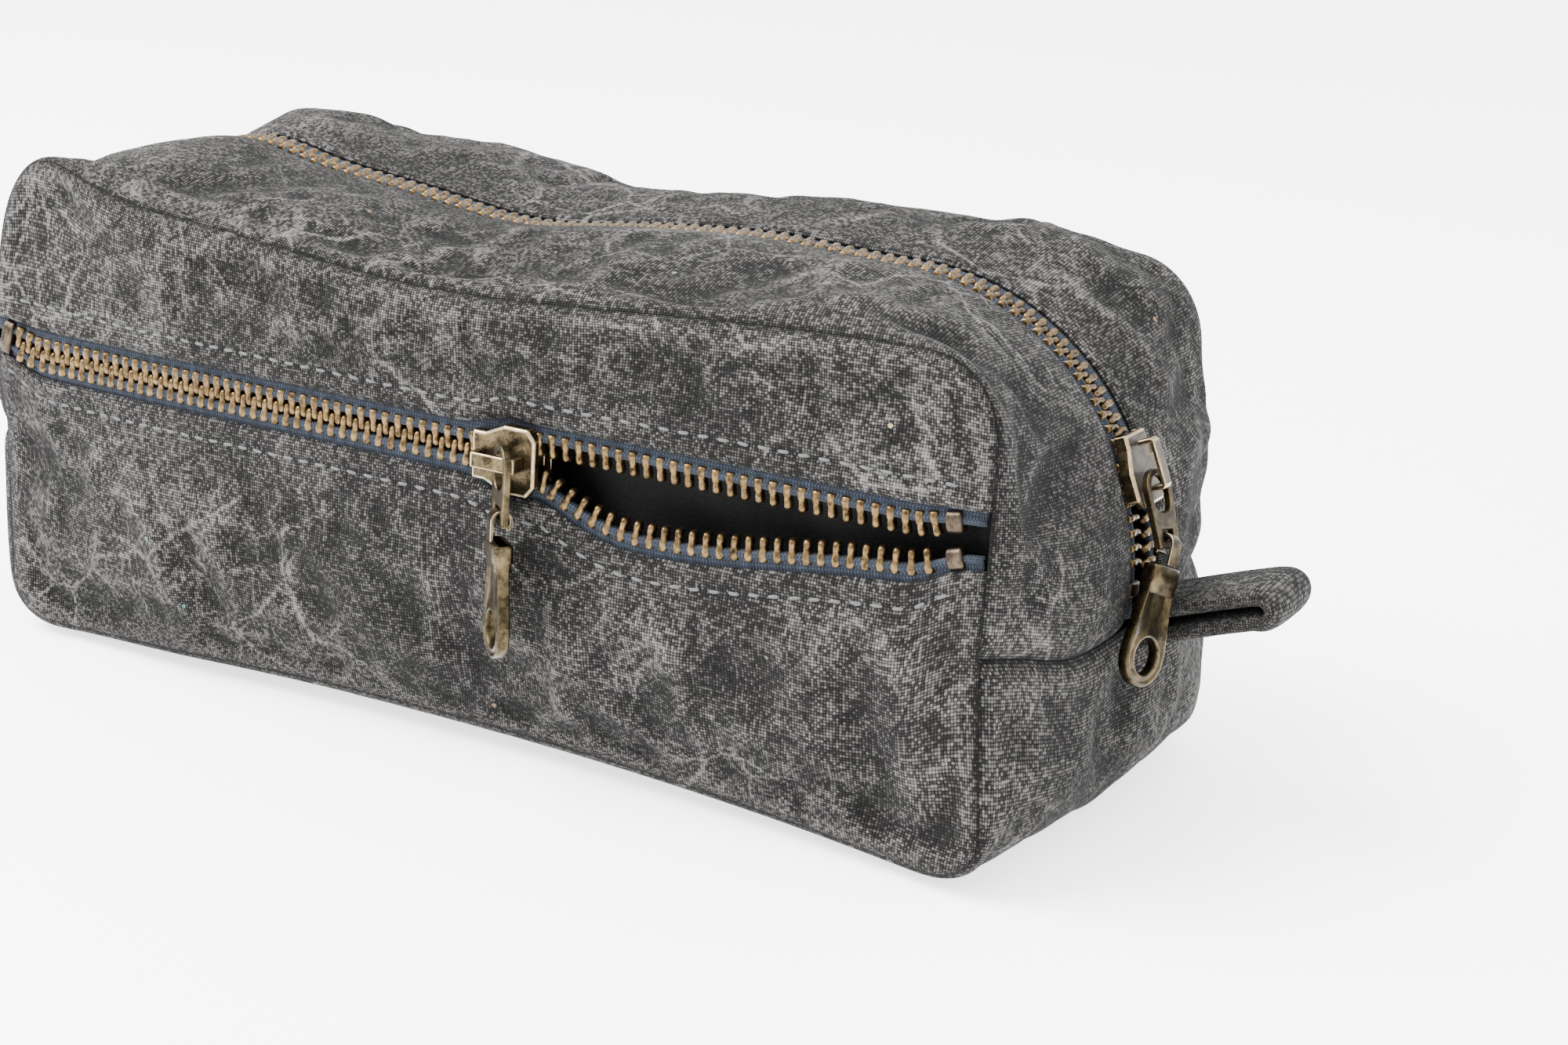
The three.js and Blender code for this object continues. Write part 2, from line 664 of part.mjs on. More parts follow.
// The flat link, drawn hanging down its own -Y with its top bar's middle at the origin.
function linkGeometry() {
  const half = linkWidth / 2;
  const outline = new THREE.Shape();
  outline.moveTo(-half, -half + linkBar / 2);
  outline.absarc(0, -half + linkBar / 2, half, Math.PI, 0, true);
  outline.lineTo(half - 0.6, -linkLength);
  outline.lineTo(-half + 0.6, -linkLength);
  const ovalHalf = half - linkBar;
  const oval = new THREE.Path();
  oval.moveTo(ovalHalf, -half + linkBar / 2);
  oval.absarc(0, -half + linkBar / 2, ovalHalf, 0, Math.PI, false);
  oval.lineTo(-ovalHalf, -linkBar / 2 - linkOvalLength + ovalHalf);
  oval.absarc(0, -linkBar / 2 - linkOvalLength + ovalHalf, ovalHalf, Math.PI, 2 * Math.PI, false);
  outline.holes.push(oval);
  const windowTop = linkLowerBarY + linkBar / 2 + linkWindowHeight + linkWindowGap;
  outline.holes.push(new THREE.Path([
    new THREE.Vector2(-linkWindowWidth / 2, windowTop),
    new THREE.Vector2(-linkWindowWidth / 2, windowTop - linkWindowHeight),
    new THREE.Vector2(linkWindowWidth / 2, windowTop - linkWindowHeight),
    new THREE.Vector2(linkWindowWidth / 2, windowTop),
  ]));
  return extruded(outline, linkThickness, 0.15).translate(0, 0, -linkThickness / 2);
}

const hookInner = 1.35;
const hookThickness = 0.5;
const hookWidth = 2.4;
const hookDrop = 3.2;

// The strip that curls round the link's lower bar. The bar's middle is the origin here.
function hookGeometry() {
  const outer = hookInner + hookThickness;
  const outline = new THREE.Shape();
  outline.moveTo(-outer, -hookDrop);
  outline.lineTo(-outer, 0);
  outline.absarc(0, 0, outer, Math.PI, -Math.PI / 3, true);
  outline.lineTo(hookInner * Math.cos(-Math.PI / 3), hookInner * Math.sin(-Math.PI / 3));
  outline.absarc(0, 0, hookInner, -Math.PI / 3, Math.PI, false);
  outline.lineTo(-hookInner, -hookDrop);
  return extruded(outline, hookWidth).translate(0, 0, -hookWidth / 2).rotateY(Math.PI / 2);
}

// The plate with the round hole, hanging down its own -Y from the hook.
function plateGeometry() {
  const radius = pullPlateWidth / 2;
  const top = -hookDrop - gap;
  const holeY = top - pullPlateLength + radius;
  const outline = new THREE.Shape();
  outline.moveTo(-3.2, top);
  outline.lineTo(-3.4, top - 5);
  outline.lineTo(-radius, holeY + 1);
  outline.absarc(0, holeY, radius, Math.PI, 2 * Math.PI, false);
  outline.lineTo(3.4, top - 5);
  outline.lineTo(3.2, top);
  const hole = new THREE.Path();
  hole.absarc(0, holeY, pullHoleRadius, 0, 2 * Math.PI, false);
  outline.holes.push(hole);
  const plate = toSolid(extruded(outline, pullPlateThickness, 0.2).translate(0, 0, -pullPlateThickness / 2));
  const block = toSolid(extruded([
    new THREE.Vector2(-3.2, top), new THREE.Vector2(-3.4, top - 4.5),
    new THREE.Vector2(3.4, top - 4.5), new THREE.Vector2(3.2, top),
  ], 3.4, 0.3).translate(0, 0, -1.7));
  return toGeometry(plate.add(block));
}

// A pull whose link and plate have their own turns, all in the bag's own directions.
function pull(prefix, placement) {
  const link = named(`${prefix}_pull_link`, linkGeometry(), brassMaterial);
  link.matrixAutoUpdate = false;
  link.matrix.copy(placement.link);
  const hook = named(`${prefix}_pull_hook`, hookGeometry(), brassMaterial);
  const plate = named(`${prefix}_pull_plate`, plateGeometry(), brassMaterial);
  const hung = new THREE.Group();
  hung.matrixAutoUpdate = false;
  hung.matrix.copy(placement.plate);
  hung.add(hook, plate);
  return [link, hung];
}

// A matrix from a part's width, downward and outward directions and its origin.
function hangingMatrix(down, width, origin) {
  const up = down.clone().negate().normalize();
  const across = width.clone().addScaledVector(up, -width.dot(up)).normalize();
  const normal = new THREE.Vector3().crossVectors(across, up);
  return new THREE.Matrix4().makeBasis(across, up, normal).setPosition(origin);
}

function slider(prefix, matrix) {
  const assembly = new THREE.Group();
  assembly.matrixAutoUpdate = false;
  assembly.matrix.copy(matrix);
  assembly.add(named(`${prefix}_slider_body`, sliderBody(), brassMaterial));
  assembly.add(named(`${prefix}_slider_strap`, sliderStrap(), brassMaterial));
  assembly.add(named(`${prefix}_slider_lock_spring`, lockSpring(), brassMaterial));
  return assembly;
}

// The pocket's slider faces the pocket side, with its mouth towards +X.
const pocketFrame = new THREE.Matrix4().makeBasis(
  new THREE.Vector3(1, 0, 0), new THREE.Vector3(0, 0, 1), new THREE.Vector3(0, -1, 0))
  .setPosition(pocketSliderX, -halfWidth + chainDepth, pocketZipHeight);
group.add(slider('pocket', pocketFrame));

const pocketTurn = THREE.MathUtils.degToRad(pocketPullTurn);
const pocketAcross = new THREE.Vector3(Math.cos(pocketTurn), Math.sin(pocketTurn), 0);
const plumb = new THREE.Vector3(0, 0, -1);
const pocketLinkShift = new THREE.Vector3(2, -4.65, 3);
const pocketLinkTop = pocketLinkShift.clone()
  .add(new THREE.Vector3(pocketSliderX, -halfWidth, pocketZipHeight));
const pocketBarPoint = pocketLinkTop.clone().addScaledVector(plumb, -linkLowerBarY);
group.add(...pull('pocket', {
  link: hangingMatrix(plumb, pocketAcross, pocketLinkTop),
  plate: hangingMatrix(plumb, pocketAcross, pocketBarPoint),
}));

// The main slider sits on the corner arc with its mouth down the end.
const mainAngle = THREE.MathUtils.degToRad(sliderAngle);
const mainOutward = new THREE.Vector3(Math.cos(mainAngle), 0, Math.sin(mainAngle));
const mainDown = new THREE.Vector3(Math.sin(mainAngle), 0, -Math.cos(mainAngle));
const arcCentre = new THREE.Vector3(arcCentreX, 0, arcCentreZ);
const mainOrigin = arcCentre.clone().addScaledVector(mainOutward, zipCornerRadius - chainDepth);
const mainFrame = new THREE.Matrix4().makeBasis(
  mainDown, new THREE.Vector3().crossVectors(mainOutward, mainDown), mainOutward)
  .setPosition(mainOrigin);
group.add(slider('main', mainFrame));

const mainLinkAlong = 1.0;
const mainLinkTop = mainOrigin.clone()
  .addScaledVector(mainDown, mainLinkAlong)
  .addScaledVector(mainOutward, (plateTop + strapRoofLow) / 2);
const linkLean = THREE.MathUtils.degToRad(mainLinkLean);
const mainLinkDown = mainDown.clone().multiplyScalar(Math.cos(linkLean))
  .add(new THREE.Vector3(0, -Math.sin(linkLean), 0));
const mainBarPoint = mainLinkTop.clone().addScaledVector(mainLinkDown, -linkLowerBarY);
const mainTurn = THREE.MathUtils.degToRad(mainPullTurn);
const mainPlateAcross = new THREE.Vector3(Math.cos(mainTurn), Math.sin(mainTurn), 0);
const linkTurn = THREE.MathUtils.degToRad(mainLinkTurn);
const mainLinkAcross = new THREE.Vector3(Math.cos(linkTurn), Math.sin(linkTurn), 0);
const mainLean = THREE.MathUtils.degToRad(mainPlateLean);
const mainPlateDown = new THREE.Vector3(0, -Math.sin(mainLean), -Math.cos(mainLean));
group.add(...pull('main', {
  link: hangingMatrix(mainLinkDown, mainLinkAcross, mainLinkTop),
  plate: hangingMatrix(mainPlateDown, mainPlateAcross, mainBarPoint),
}));

export default group;
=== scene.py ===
# Looks for the canvas shaving kit bag: cloth panels, zips, sliders, pulls and tab loops.
import math

import bmesh
import bpy
import numpy as np
from mathutils import Matrix


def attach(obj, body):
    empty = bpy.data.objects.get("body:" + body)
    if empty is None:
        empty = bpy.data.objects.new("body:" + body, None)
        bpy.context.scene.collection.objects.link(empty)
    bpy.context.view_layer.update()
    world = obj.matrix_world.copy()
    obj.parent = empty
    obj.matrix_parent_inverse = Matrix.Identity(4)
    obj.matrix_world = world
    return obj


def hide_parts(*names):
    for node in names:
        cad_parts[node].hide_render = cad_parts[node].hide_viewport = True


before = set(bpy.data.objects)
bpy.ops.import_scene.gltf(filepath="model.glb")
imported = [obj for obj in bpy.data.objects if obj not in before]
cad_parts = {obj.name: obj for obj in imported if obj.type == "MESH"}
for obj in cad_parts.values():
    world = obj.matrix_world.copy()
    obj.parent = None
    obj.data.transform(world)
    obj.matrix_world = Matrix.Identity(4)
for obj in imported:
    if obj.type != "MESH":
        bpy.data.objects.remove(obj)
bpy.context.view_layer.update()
mm = 0.001

# sizes in millimetres, the same as the frame's; the seam outline is the front's and the back's edge, and
# the zip outline is the line that the main zip follows over the top and down the ends
bag = {
    "halfWidth": 48.5,
    "seamEndX": 103.0, "seamTopZ": 86.0, "seamTopRadius": 14.0, "seamBottomRadius": 10.0,
    "zipEndX": 109.5, "zipTopZ": 87.5, "zipRadius": 46.0, "floorRun": 18.0, "floorRise": 22.0,
    "tabSeamZ": 34.0, "tapeHalf": 12.0, "slotHalf": 5.9, "pocketFold": 4.5, "mainFold": 5.3,
    "pocketZ": 55.0, "chainDepth": 1.55,
}
seamRoll = {"deep": 1.35, "reach": 4.2}  # how the cloth turns in at each seam
sliderAngle = math.radians(23)  # how far round the right corner the main slider stands

# the main zip: where its corner starts, half its length, and the slider's distance from the middle
mainArcX = bag["zipEndX"] - bag["zipRadius"]
mainArcZ = bag["zipTopZ"] - bag["zipRadius"]
mainEndDrop = mainArcZ - bag["tabSeamZ"] - 2
mainHalf = mainArcX + bag["zipRadius"] * math.pi / 2 + mainEndDrop
mainSliderS = mainArcX + bag["zipRadius"] * (math.pi / 2 - sliderAngle)


def smoothstep(x, a, b):
    # 0 before a, 1 after b, and 3k^2 - 2k^3 between, where k is the share of the way
    k = np.clip((x - a) / (b - a), 0, 1)
    return k * k * (3 - 2 * k)


def bump(x, centre, spread):
    # a bell curve exp(-((x - centre) / spread)^2)
    return np.exp(-((x - centre) / spread) ** 2)


def unit(v):
    # each vector over its own length
    return v / np.maximum(np.linalg.norm(v, axis=-1, keepdims=True), 1e-12)


def gridFaces(rows, columns, closed=False, flip=False, first=0):
    # quads between each point of a rows x columns grid and its neighbours, wrapped round if closed
    i, j = np.meshgrid(np.arange(rows - 1), np.arange(columns if closed else columns - 1), indexing="ij")
    i, j = i.ravel(), j.ravel()
    k = (j + 1) % columns
    quads = np.stack([i * columns + j, (i + 1) * columns + j, (i + 1) * columns + k, i * columns + k], 1)
    return (quads[:, ::-1] if flip else quads) + first


def makeObject(name, points, faces, material, body, weave=None, creaseWearAndSeamShade=None):
    # points in millimetres become a mesh in metres, with a flat cloth map and a value of crease wear and
    # painted seam shade if given
    mesh = bpy.data.meshes.new(name)
    places = np.asarray(points).reshape(-1, 3) * mm
    mesh.from_pydata(places.tolist(), [], [list(map(int, f)) for f in faces])
    if weave is not None:
        corners = np.empty(len(mesh.loops), int)
        mesh.loops.foreach_get("vertex_index", corners)
        layer = mesh.uv_layers.new(name="weave")
        layer.data.foreach_set("uv", (np.asarray(weave).reshape(-1, 2)[corners] * mm).ravel())
    if creaseWearAndSeamShade is not None:
        mesh.attributes.new("creaseWearAndSeamShade", "FLOAT", "POINT").data.foreach_set("value", np.ravel(creaseWearAndSeamShade))
    mesh.polygons.foreach_set("use_smooth", np.ones(len(mesh.polygons), bool))
    mesh.update()
    made = bpy.data.objects.new(name, mesh)
    bpy.context.scene.collection.objects.link(made)
    mesh.materials.append(material)
    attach(made, body)
    return made


def addModifier(piece, kind, **settings):
    # a modifier of that kind with its settings
    modifier = piece.modifiers.new(kind.lower(), kind)
    for key, value in settings.items():
        setattr(modifier, key, value)
    return modifier


def recalculated(piece):
    # doubles merged, then every face turned outwards
    work = bmesh.new()
    work.from_mesh(piece.data)
    bmesh.ops.remove_doubles(work, verts=work.verts, dist=1e-7)
    bmesh.ops.recalc_face_normals(work, faces=work.faces)
    work.to_mesh(piece.data)
    work.free()
    return piece


def copiesOf(points, faces, origins, axes):
    # one small shape put at each origin, turned by that place's three axes
    placed = origins[:, None, :] + np.einsum("kc,nca->nka", points, axes)
    count = len(points)
    allFaces = [[int(v) + n * count for v in f] for n in range(len(origins)) for f in faces]
    return placed.reshape(-1, 3), allFaces


def barFaces(rings, around):
    # quads along a closed tube and one flat cap at each end
    faces = gridFaces(rings, around, closed=True).tolist()
    faces.append(list(range(around)))
    faces.append(list(range((rings - 1) * around, rings * around))[::-1])
    return faces


def roundedRing(halfWide, halfThick, around, power):
    # a ring of points on a superellipse |x/a|^p + |z/b|^p = 1, for each pair of half sizes
    turn = (np.arange(around) + 0.5) / around * 2 * np.pi
    c, s = np.cos(turn), np.sin(turn)
    size = (np.abs(c) ** power + np.abs(s) ** power) ** (-1 / power)
    return np.outer(np.atleast_1d(halfWide), c * size), np.outer(np.atleast_1d(halfThick), s * size)


def barAlong(path, across, halfWide, halfThick, around, power):
    # a rounded rectangle carried along a path; across is its width direction, and its thickness is
    # square to that and to the path
    tangent = unit(np.gradient(path, axis=0))
    across = np.broadcast_to(across, path.shape)
    across = unit(across - tangent * np.sum(across * tangent, 1, keepdims=True))
    up = np.cross(tangent, across)
    halfWide, halfThick = np.broadcast_to(halfWide, len(path)), np.broadcast_to(halfThick, len(path))
    x, z = roundedRing(halfWide, halfThick, around, power)
    return path[:, None, :] + x[..., None] * across[:, None, :] + z[..., None] * up[:, None, :]


def smoothPath(corners, count, passes=3):
    # corners cut by quarters a few times (Chaikin), then points evenly spaced along the result
    path = np.asarray(corners, float)
    for _ in range(passes):
        cut = np.empty((2 * len(path) - 2, path.shape[1]))
        cut[0::2] = 0.75 * path[:-1] + 0.25 * path[1:]
        cut[1::2] = 0.25 * path[:-1] + 0.75 * path[1:]
        path = np.concatenate([path[:1], cut, path[-1:]])
    return evenPath(path, count)


def evenPath(path, count):
    # points evenly spaced along a line of points
    run = np.concatenate([[0], np.cumsum(np.linalg.norm(np.diff(path, axis=0), axis=1))])
    at = np.linspace(0, run[-1], count)
    return np.stack([np.interp(at, run, path[:, k]) for k in range(path.shape[1])], 1)


def topTable(endX, topZ, radius):
    # half outline of the top and end: a level line, a quarter circle and a drop to the tab seam
    turn = np.linspace(0, np.pi / 2, 40)
    x = np.concatenate([[0], endX - radius + radius * np.sin(turn), [endX]])
    z = np.concatenate([[topZ], topZ - radius + radius * np.cos(turn), [bag["tabSeamZ"]]])
    return evenPath(np.stack([x, z], 1), 400)


def baseTable(endX, run, rise):
    # half outline of the floor and end: a level line, a quarter ellipse and a rise to the tab seam
    turn = np.linspace(0, np.pi / 2, 40)
    x = np.concatenate([[0], endX - run + run * np.sin(turn), [endX]])
    z = np.concatenate([[0], rise - rise * np.cos(turn), [bag["tabSeamZ"]]])
    return evenPath(np.stack([x, z], 1), 400)


topZipTable = topTable(bag["zipEndX"], bag["zipTopZ"], bag["zipRadius"])
topSeamTable = topTable(bag["seamEndX"], bag["seamTopZ"], bag["seamTopRadius"])
baseZipTable = baseTable(bag["zipEndX"], bag["floorRun"], bag["floorRise"])
baseSeamTable = baseTable(bag["seamEndX"], bag["seamBottomRadius"], bag["seamBottomRadius"])


def gussetPoint(t, y, zipTable, seamTable):
    # t runs from -1 to 1 over the outline; across the width it goes from the zip's line to the seam's
    # with the square of the distance past the tape
    at = np.linspace(0, 1, len(zipTable))
    share = (np.maximum(np.abs(y) - bag["tapeHalf"], 0) / (bag["halfWidth"] - bag["tapeHalf"])) ** 2
    size = np.abs(t)
    x, z = [
        (1 - share) * np.interp(size, at, zipTable[:, k]) + share * np.interp(size, at, seamTable[:, k])
        for k in (0, 1)
    ]
    return np.stack([np.sign(t) * x, y + 0 * x, z], -1)


def gridNormals(points):
    # square to both grid directions, by cross product of the differences
    return unit(np.cross(np.gradient(points, axis=0), np.gradient(points, axis=1)))


# how the cloth sags: each dip or hump is its height, its place along the bag and its spread
sag = {
    "zipDips": ((-3.6, -12, 22), (5.5, -80, 20), (0.8, 38, 14)),  # along the main zip
    "seamDip": (-4.8, 2, 42, 52),  # along the top seams, with its own spread to the left and the right
    "frontHump": (4.5, -94, 18),  # the front's top left corner
    "tuckFront": 9.0, "tuckBack": 6.5,  # how far the bottom edges are drawn in
    "edgeLift": 4.0,  # how far the bottom edges leave the floor
    "leftIn": 6.8, "leftNarrow": 5.0, "zipKept": 0.85,  # the left end, and its share held off the zip
    "rightFull": 5.0, "backRightIn": 4.5,  # the right end: full at its foot, drawn in at the back
    "seamRise": 5.0,  # how far the end seams climb from the tab to the corners
}


def settle(p):
    # moves any point of the bag as its cloth sags: dips along the top, a hump at the left of the zip,
    # bottom edges drawn in and lifted, and corners rounded off. Every move is a height times bell
    # curves and smooth steps of the point's own place
    p = np.array(p, float)
    x, y, z = p[..., 0].copy(), p[..., 1].copy(), p[..., 2].copy()
    wide = np.abs(y) / bag["halfWidth"]
    front = y < 0
    nearZip = 1 - smoothstep(np.abs(y), 8, 40)
    zipDip = sum(tall * bump(x, middle, spread) for tall, middle, spread in sag["zipDips"])
    tall, middle, leftSpread, rightSpread = sag["seamDip"]
    seamDip = tall * np.where(x < middle, bump(x, middle, leftSpread), bump(x, middle, rightSpread))
    tall, middle, spread = sag["frontHump"]
    seamDip = seamDip + np.where(front, tall, 0) * bump(x, middle, spread)
    p[..., 2] += smoothstep(z, 58, 84) * (nearZip * zipDip + (1 - nearZip) * seamDip)
    low = 1 - smoothstep(z, -2, 40)
    middle = np.clip(1 - (x / 106) ** 2, 0, 1) ** 0.8
    tuck = np.where(front, sag["tuckFront"], sag["tuckBack"])
    p[..., 1] -= np.sign(y) * tuck * low ** 1.2 * middle * wide ** 2
    p[..., 2] += sag["edgeLift"] * (1 - smoothstep(z, -2, 16)) * middle * wide ** 4
    left = np.minimum(wide, 1.02) ** 2
    p[..., 0] += sag["leftIn"] * left * smoothstep(-x, 8, 104)
    offZip = 1 - sag["zipKept"] * np.where(front, bump(z, bag["pocketZ"], 13), 0)
    p[..., 1] -= np.sign(y) * sag["leftNarrow"] * left * smoothstep(-x, 55, 104) * offZip
    fuller = 0.45 + 0.55 * smoothstep(y, -48, 30)
    p[..., 0] += sag["rightFull"] * bump(z, 9, 14) * smoothstep(x, 80, 104) * fuller
    p[..., 0] -= np.where(front, 0, sag["backRightIn"]) * smoothstep(x, 66, 104) * wide ** 2
    endSide = smoothstep(np.abs(x), 88, 100) * (1 - smoothstep(np.abs(z - 36), 6, 30))
    p[..., 2] += sag["seamRise"] * endSide * smoothstep(np.abs(y), 20, bag["halfWidth"])
    return p


# the open stretch of the pocket zip: where its lower row starts to dip, is lowest and is back up, how
# far it dips, and how far a slider parts each row
mouth = {"start": 24.5, "lowest": 42.0, "end": 95.5, "dip": 5.1, "parted": 1.9}


def parting(x):
    # each row of the pocket zip moves off the closed line over the slider's length
    return mouth["parted"] * smoothstep(x, 14, 18.5)


def mainParting(s):
    # the same for the main zip, by distance from its middle
    return mouth["parted"] * smoothstep(s, mainSliderS - 4, mainSliderS + 0.5)


def mouthDrop(x):
    # how far the lower teeth hang under the closed line: parted by the slider, then down with a sine
    # and back up with a squared cosine
    down = (x - mouth["start"]) / (mouth["lowest"] - mouth["start"])
    back = (x - mouth["lowest"]) / (mouth["end"] - mouth["lowest"])
    hang = np.where(x < mouth["lowest"], np.sin(np.clip(down, 0, 1) * np.pi / 2),
                    np.cos(np.clip(back, 0, 1) * np.pi / 2) ** 2)
    return parting(x) + mouth["dip"] * hang


def panelInset(x, z):
    # distance inside the seam's rounded outline, and the direction away from its edge
    top = z > bag["seamTopZ"] / 2
    radius = np.where(top, bag["seamTopRadius"], bag["seamBottomRadius"])
    cx = bag["seamEndX"] - radius
    cz = np.where(top, bag["seamTopZ"] - radius, radius)
    dx = np.abs(x) - cx
    dz = np.where(top, z - cz, cz - z)
    corner = (dx > 0) & (dz > 0)
    far = np.hypot(np.maximum(dx, 0), np.maximum(dz, 0))
    inside = np.where(corner, radius - far, np.minimum(radius - dx, radius - dz))
    side = dx > dz
    ax = np.where(corner, -dx / np.maximum(far, 1e-9), np.where(side, -1.0, 0.0)) * np.sign(x)
    az = np.where(corner, -dz / np.maximum(far, 1e-9), np.where(side, 0.0, -1.0)) * np.where(top, 1, -1)
    return inside, np.stack([ax, 0 * ax, az], -1)


def pocketFold(x):
    # distance of the folded canvas from the pocket zip's middle: it widens where the slider passes
    return bag["pocketFold"] - 0.2 + 1.4 * bump(x, 14.5, 3.5)


def mainFold(s):
    # the same for the main zip, along its length from the middle
    return bag["mainFold"] - 0.3 + 0.6 * mainParting(s) + 0.9 * bump(s, mainSliderS - 3.5, 4)


def rolled(distance):
    # how deep the cloth turns in at a distance from a seam: deep * (1 - d / reach)^2
    return seamRoll["deep"] * np.clip(1 - distance / seamRoll["reach"], 0, 1) ** 2


class Nodes:
    # a short way to add shader nodes and link them
    def __init__(self, name):
        self.material = bpy.data.materials.new(name)
        self.material.use_nodes = True
        self.tree = self.material.node_tree
        self.tree.nodes.clear()
        self.output = self.tree.nodes.new("ShaderNodeOutputMaterial")
        self.shader = self.tree.nodes.new("ShaderNodeBsdfPrincipled")
        self.tree.links.new(self.shader.outputs[0], self.output.inputs[0])

    def feed(self, socket, value):
        if isinstance(value, bpy.types.NodeSocket):
            self.tree.links.new(value, socket)
        else:
            socket.default_value = value

    def add(self, kind, inputs=(), **settings):
        node = self.tree.nodes.new("ShaderNode" + kind)
        for key, value in settings.items():
            setattr(node, key, value)
        for key, value in dict(inputs).items():
            self.feed(node.inputs[key], value)
        return node

    def calc(self, operation, a, b=0.0, c=0.0, clamp=False):
        return self.add("Math", {0: a, 1: b, 2: c}, operation=operation, use_clamp=clamp).outputs[0]

    def times(self, vector, factors):
        return self.add("VectorMath", {0: vector, 1: factors}, operation="MULTIPLY").outputs[0]

    def around(self, value, weight):
        # a pattern's swing about its middle, (value - 0.5) * weight
        return self.calc("MULTIPLY", self.calc("SUBTRACT", value, 0.5), weight)

    def noise(self, vector, scale, detail=2.0, rough=0.5, bent=0.0):
        node = self.add("TexNoise", {"Vector": vector, "Scale": scale, "Detail": detail,
                                     "Roughness": rough, "Distortion": bent})
        return node.outputs[0]

    def ramp(self, value, stops):
        node = self.add("ValToRGB", {0: value})
        marks = node.color_ramp.elements
        while len(marks) < len(stops):
            marks.new(0.5)
        for mark, (place, colour) in zip(marks, stops):
            mark.position = place
            mark.color = (*colour, 1)
        return node.outputs[0]

    def mix(self, share, a, b, blend="MIX"):
        node = self.add("Mix", {0: share}, data_type="RGBA", blend_type=blend)
        self.feed(node.inputs[6], a if isinstance(a, bpy.types.NodeSocket) else (*a, 1))
        self.feed(node.inputs[7], b if isinstance(b, bpy.types.NodeSocket) else (*b, 1))
        return node.outputs[2]

    def bumped(self, height, distance, strength=1.0, onto=None):
        inputs = {"Height": height, "Distance": distance, "Strength": strength}
        if onto is not None:
            inputs["Normal"] = onto
        return self.add("Bump", inputs).outputs[0]

    def finish(self, **values):
        for key, value in values.items():
            self.feed(self.shader.inputs[key.replace("_", " ")], value)
        return self.material


def plainWeave(n, uv, threads, waver):
    # height of a plain weave: each yarn's rounded section |sin|^0.6 times its over-and-under wave, and
    # the higher yarn shows. Returns the height, a random value for each crossing and the thread count
    wander = n.noise(uv, 260, 2.0, 0.6)
    shifted = n.add("VectorMath", {0: uv, 1: n.add("CombineXYZ", {
        0: n.around(wander, waver), 1: n.around(n.noise(uv, 240, 2.0, 0.6, 0.4), waver),
    }).outputs[0]}, operation="ADD").outputs[0]
    scaled = n.times(shifted, (threads, threads, threads))
    parts = n.add("SeparateXYZ", {0: scaled})
    u, v = parts.outputs[0], parts.outputs[1]
    iu, iv = n.calc("FLOOR", u), n.calc("FLOOR", v)

    def yarn(mine, other, index, sign):
        section = n.calc("ABSOLUTE", n.calc("SINE", n.calc("MULTIPLY", mine, math.pi)))
        along = n.calc("MULTIPLY", n.calc("ADD", n.calc("SUBTRACT", other, 0.5), index), math.pi)
        over = n.calc("MULTIPLY_ADD", n.calc("COSINE", along), 0.5 * sign, 0.5)
        return n.calc("MULTIPLY", n.calc("POWER", section, 0.6), over)

    height = n.calc("MAXIMUM", yarn(u, v, iu, 1), yarn(v, u, iv, -1))
    cell = n.add("CombineXYZ", {0: iu, 1: iv}).outputs[0]
    chance = n.add("TexWhiteNoise", {"Vector": cell}, noise_dimensions="2D").outputs[0]
    return height, chance, scaled


canvasLook = {
    "threadsPerMetre": 2000.0, "waver": 0.00030,
    "dark": (0.0014, 0.0013, 0.0012), "mid": (0.0088, 0.0083, 0.0078), "light": (0.112, 0.108, 0.102),
    "base": 0.295, "vein": 0.42, "cloud": 0.27, "broad": 0.22, "creaseWearAndSeamShade": 0.38, "mottle": 0.30,
    "chance": 0.68, "crown": 0.80, "slub": 0.25,
    "veins": ((58.0, 0.045, 1.0), (125.0, 0.07, 0.55)),  # cells per metre, line's share of a cell, weight
    "weaveDeep": 0.00022, "creaseDeep": 0.0011,
    "lint": ((0.0, (0.35, 0.12, 0.05)), (0.4, (0.05, 0.20, 0.17)), (0.7, (0.40, 0.33, 0.12))),
}


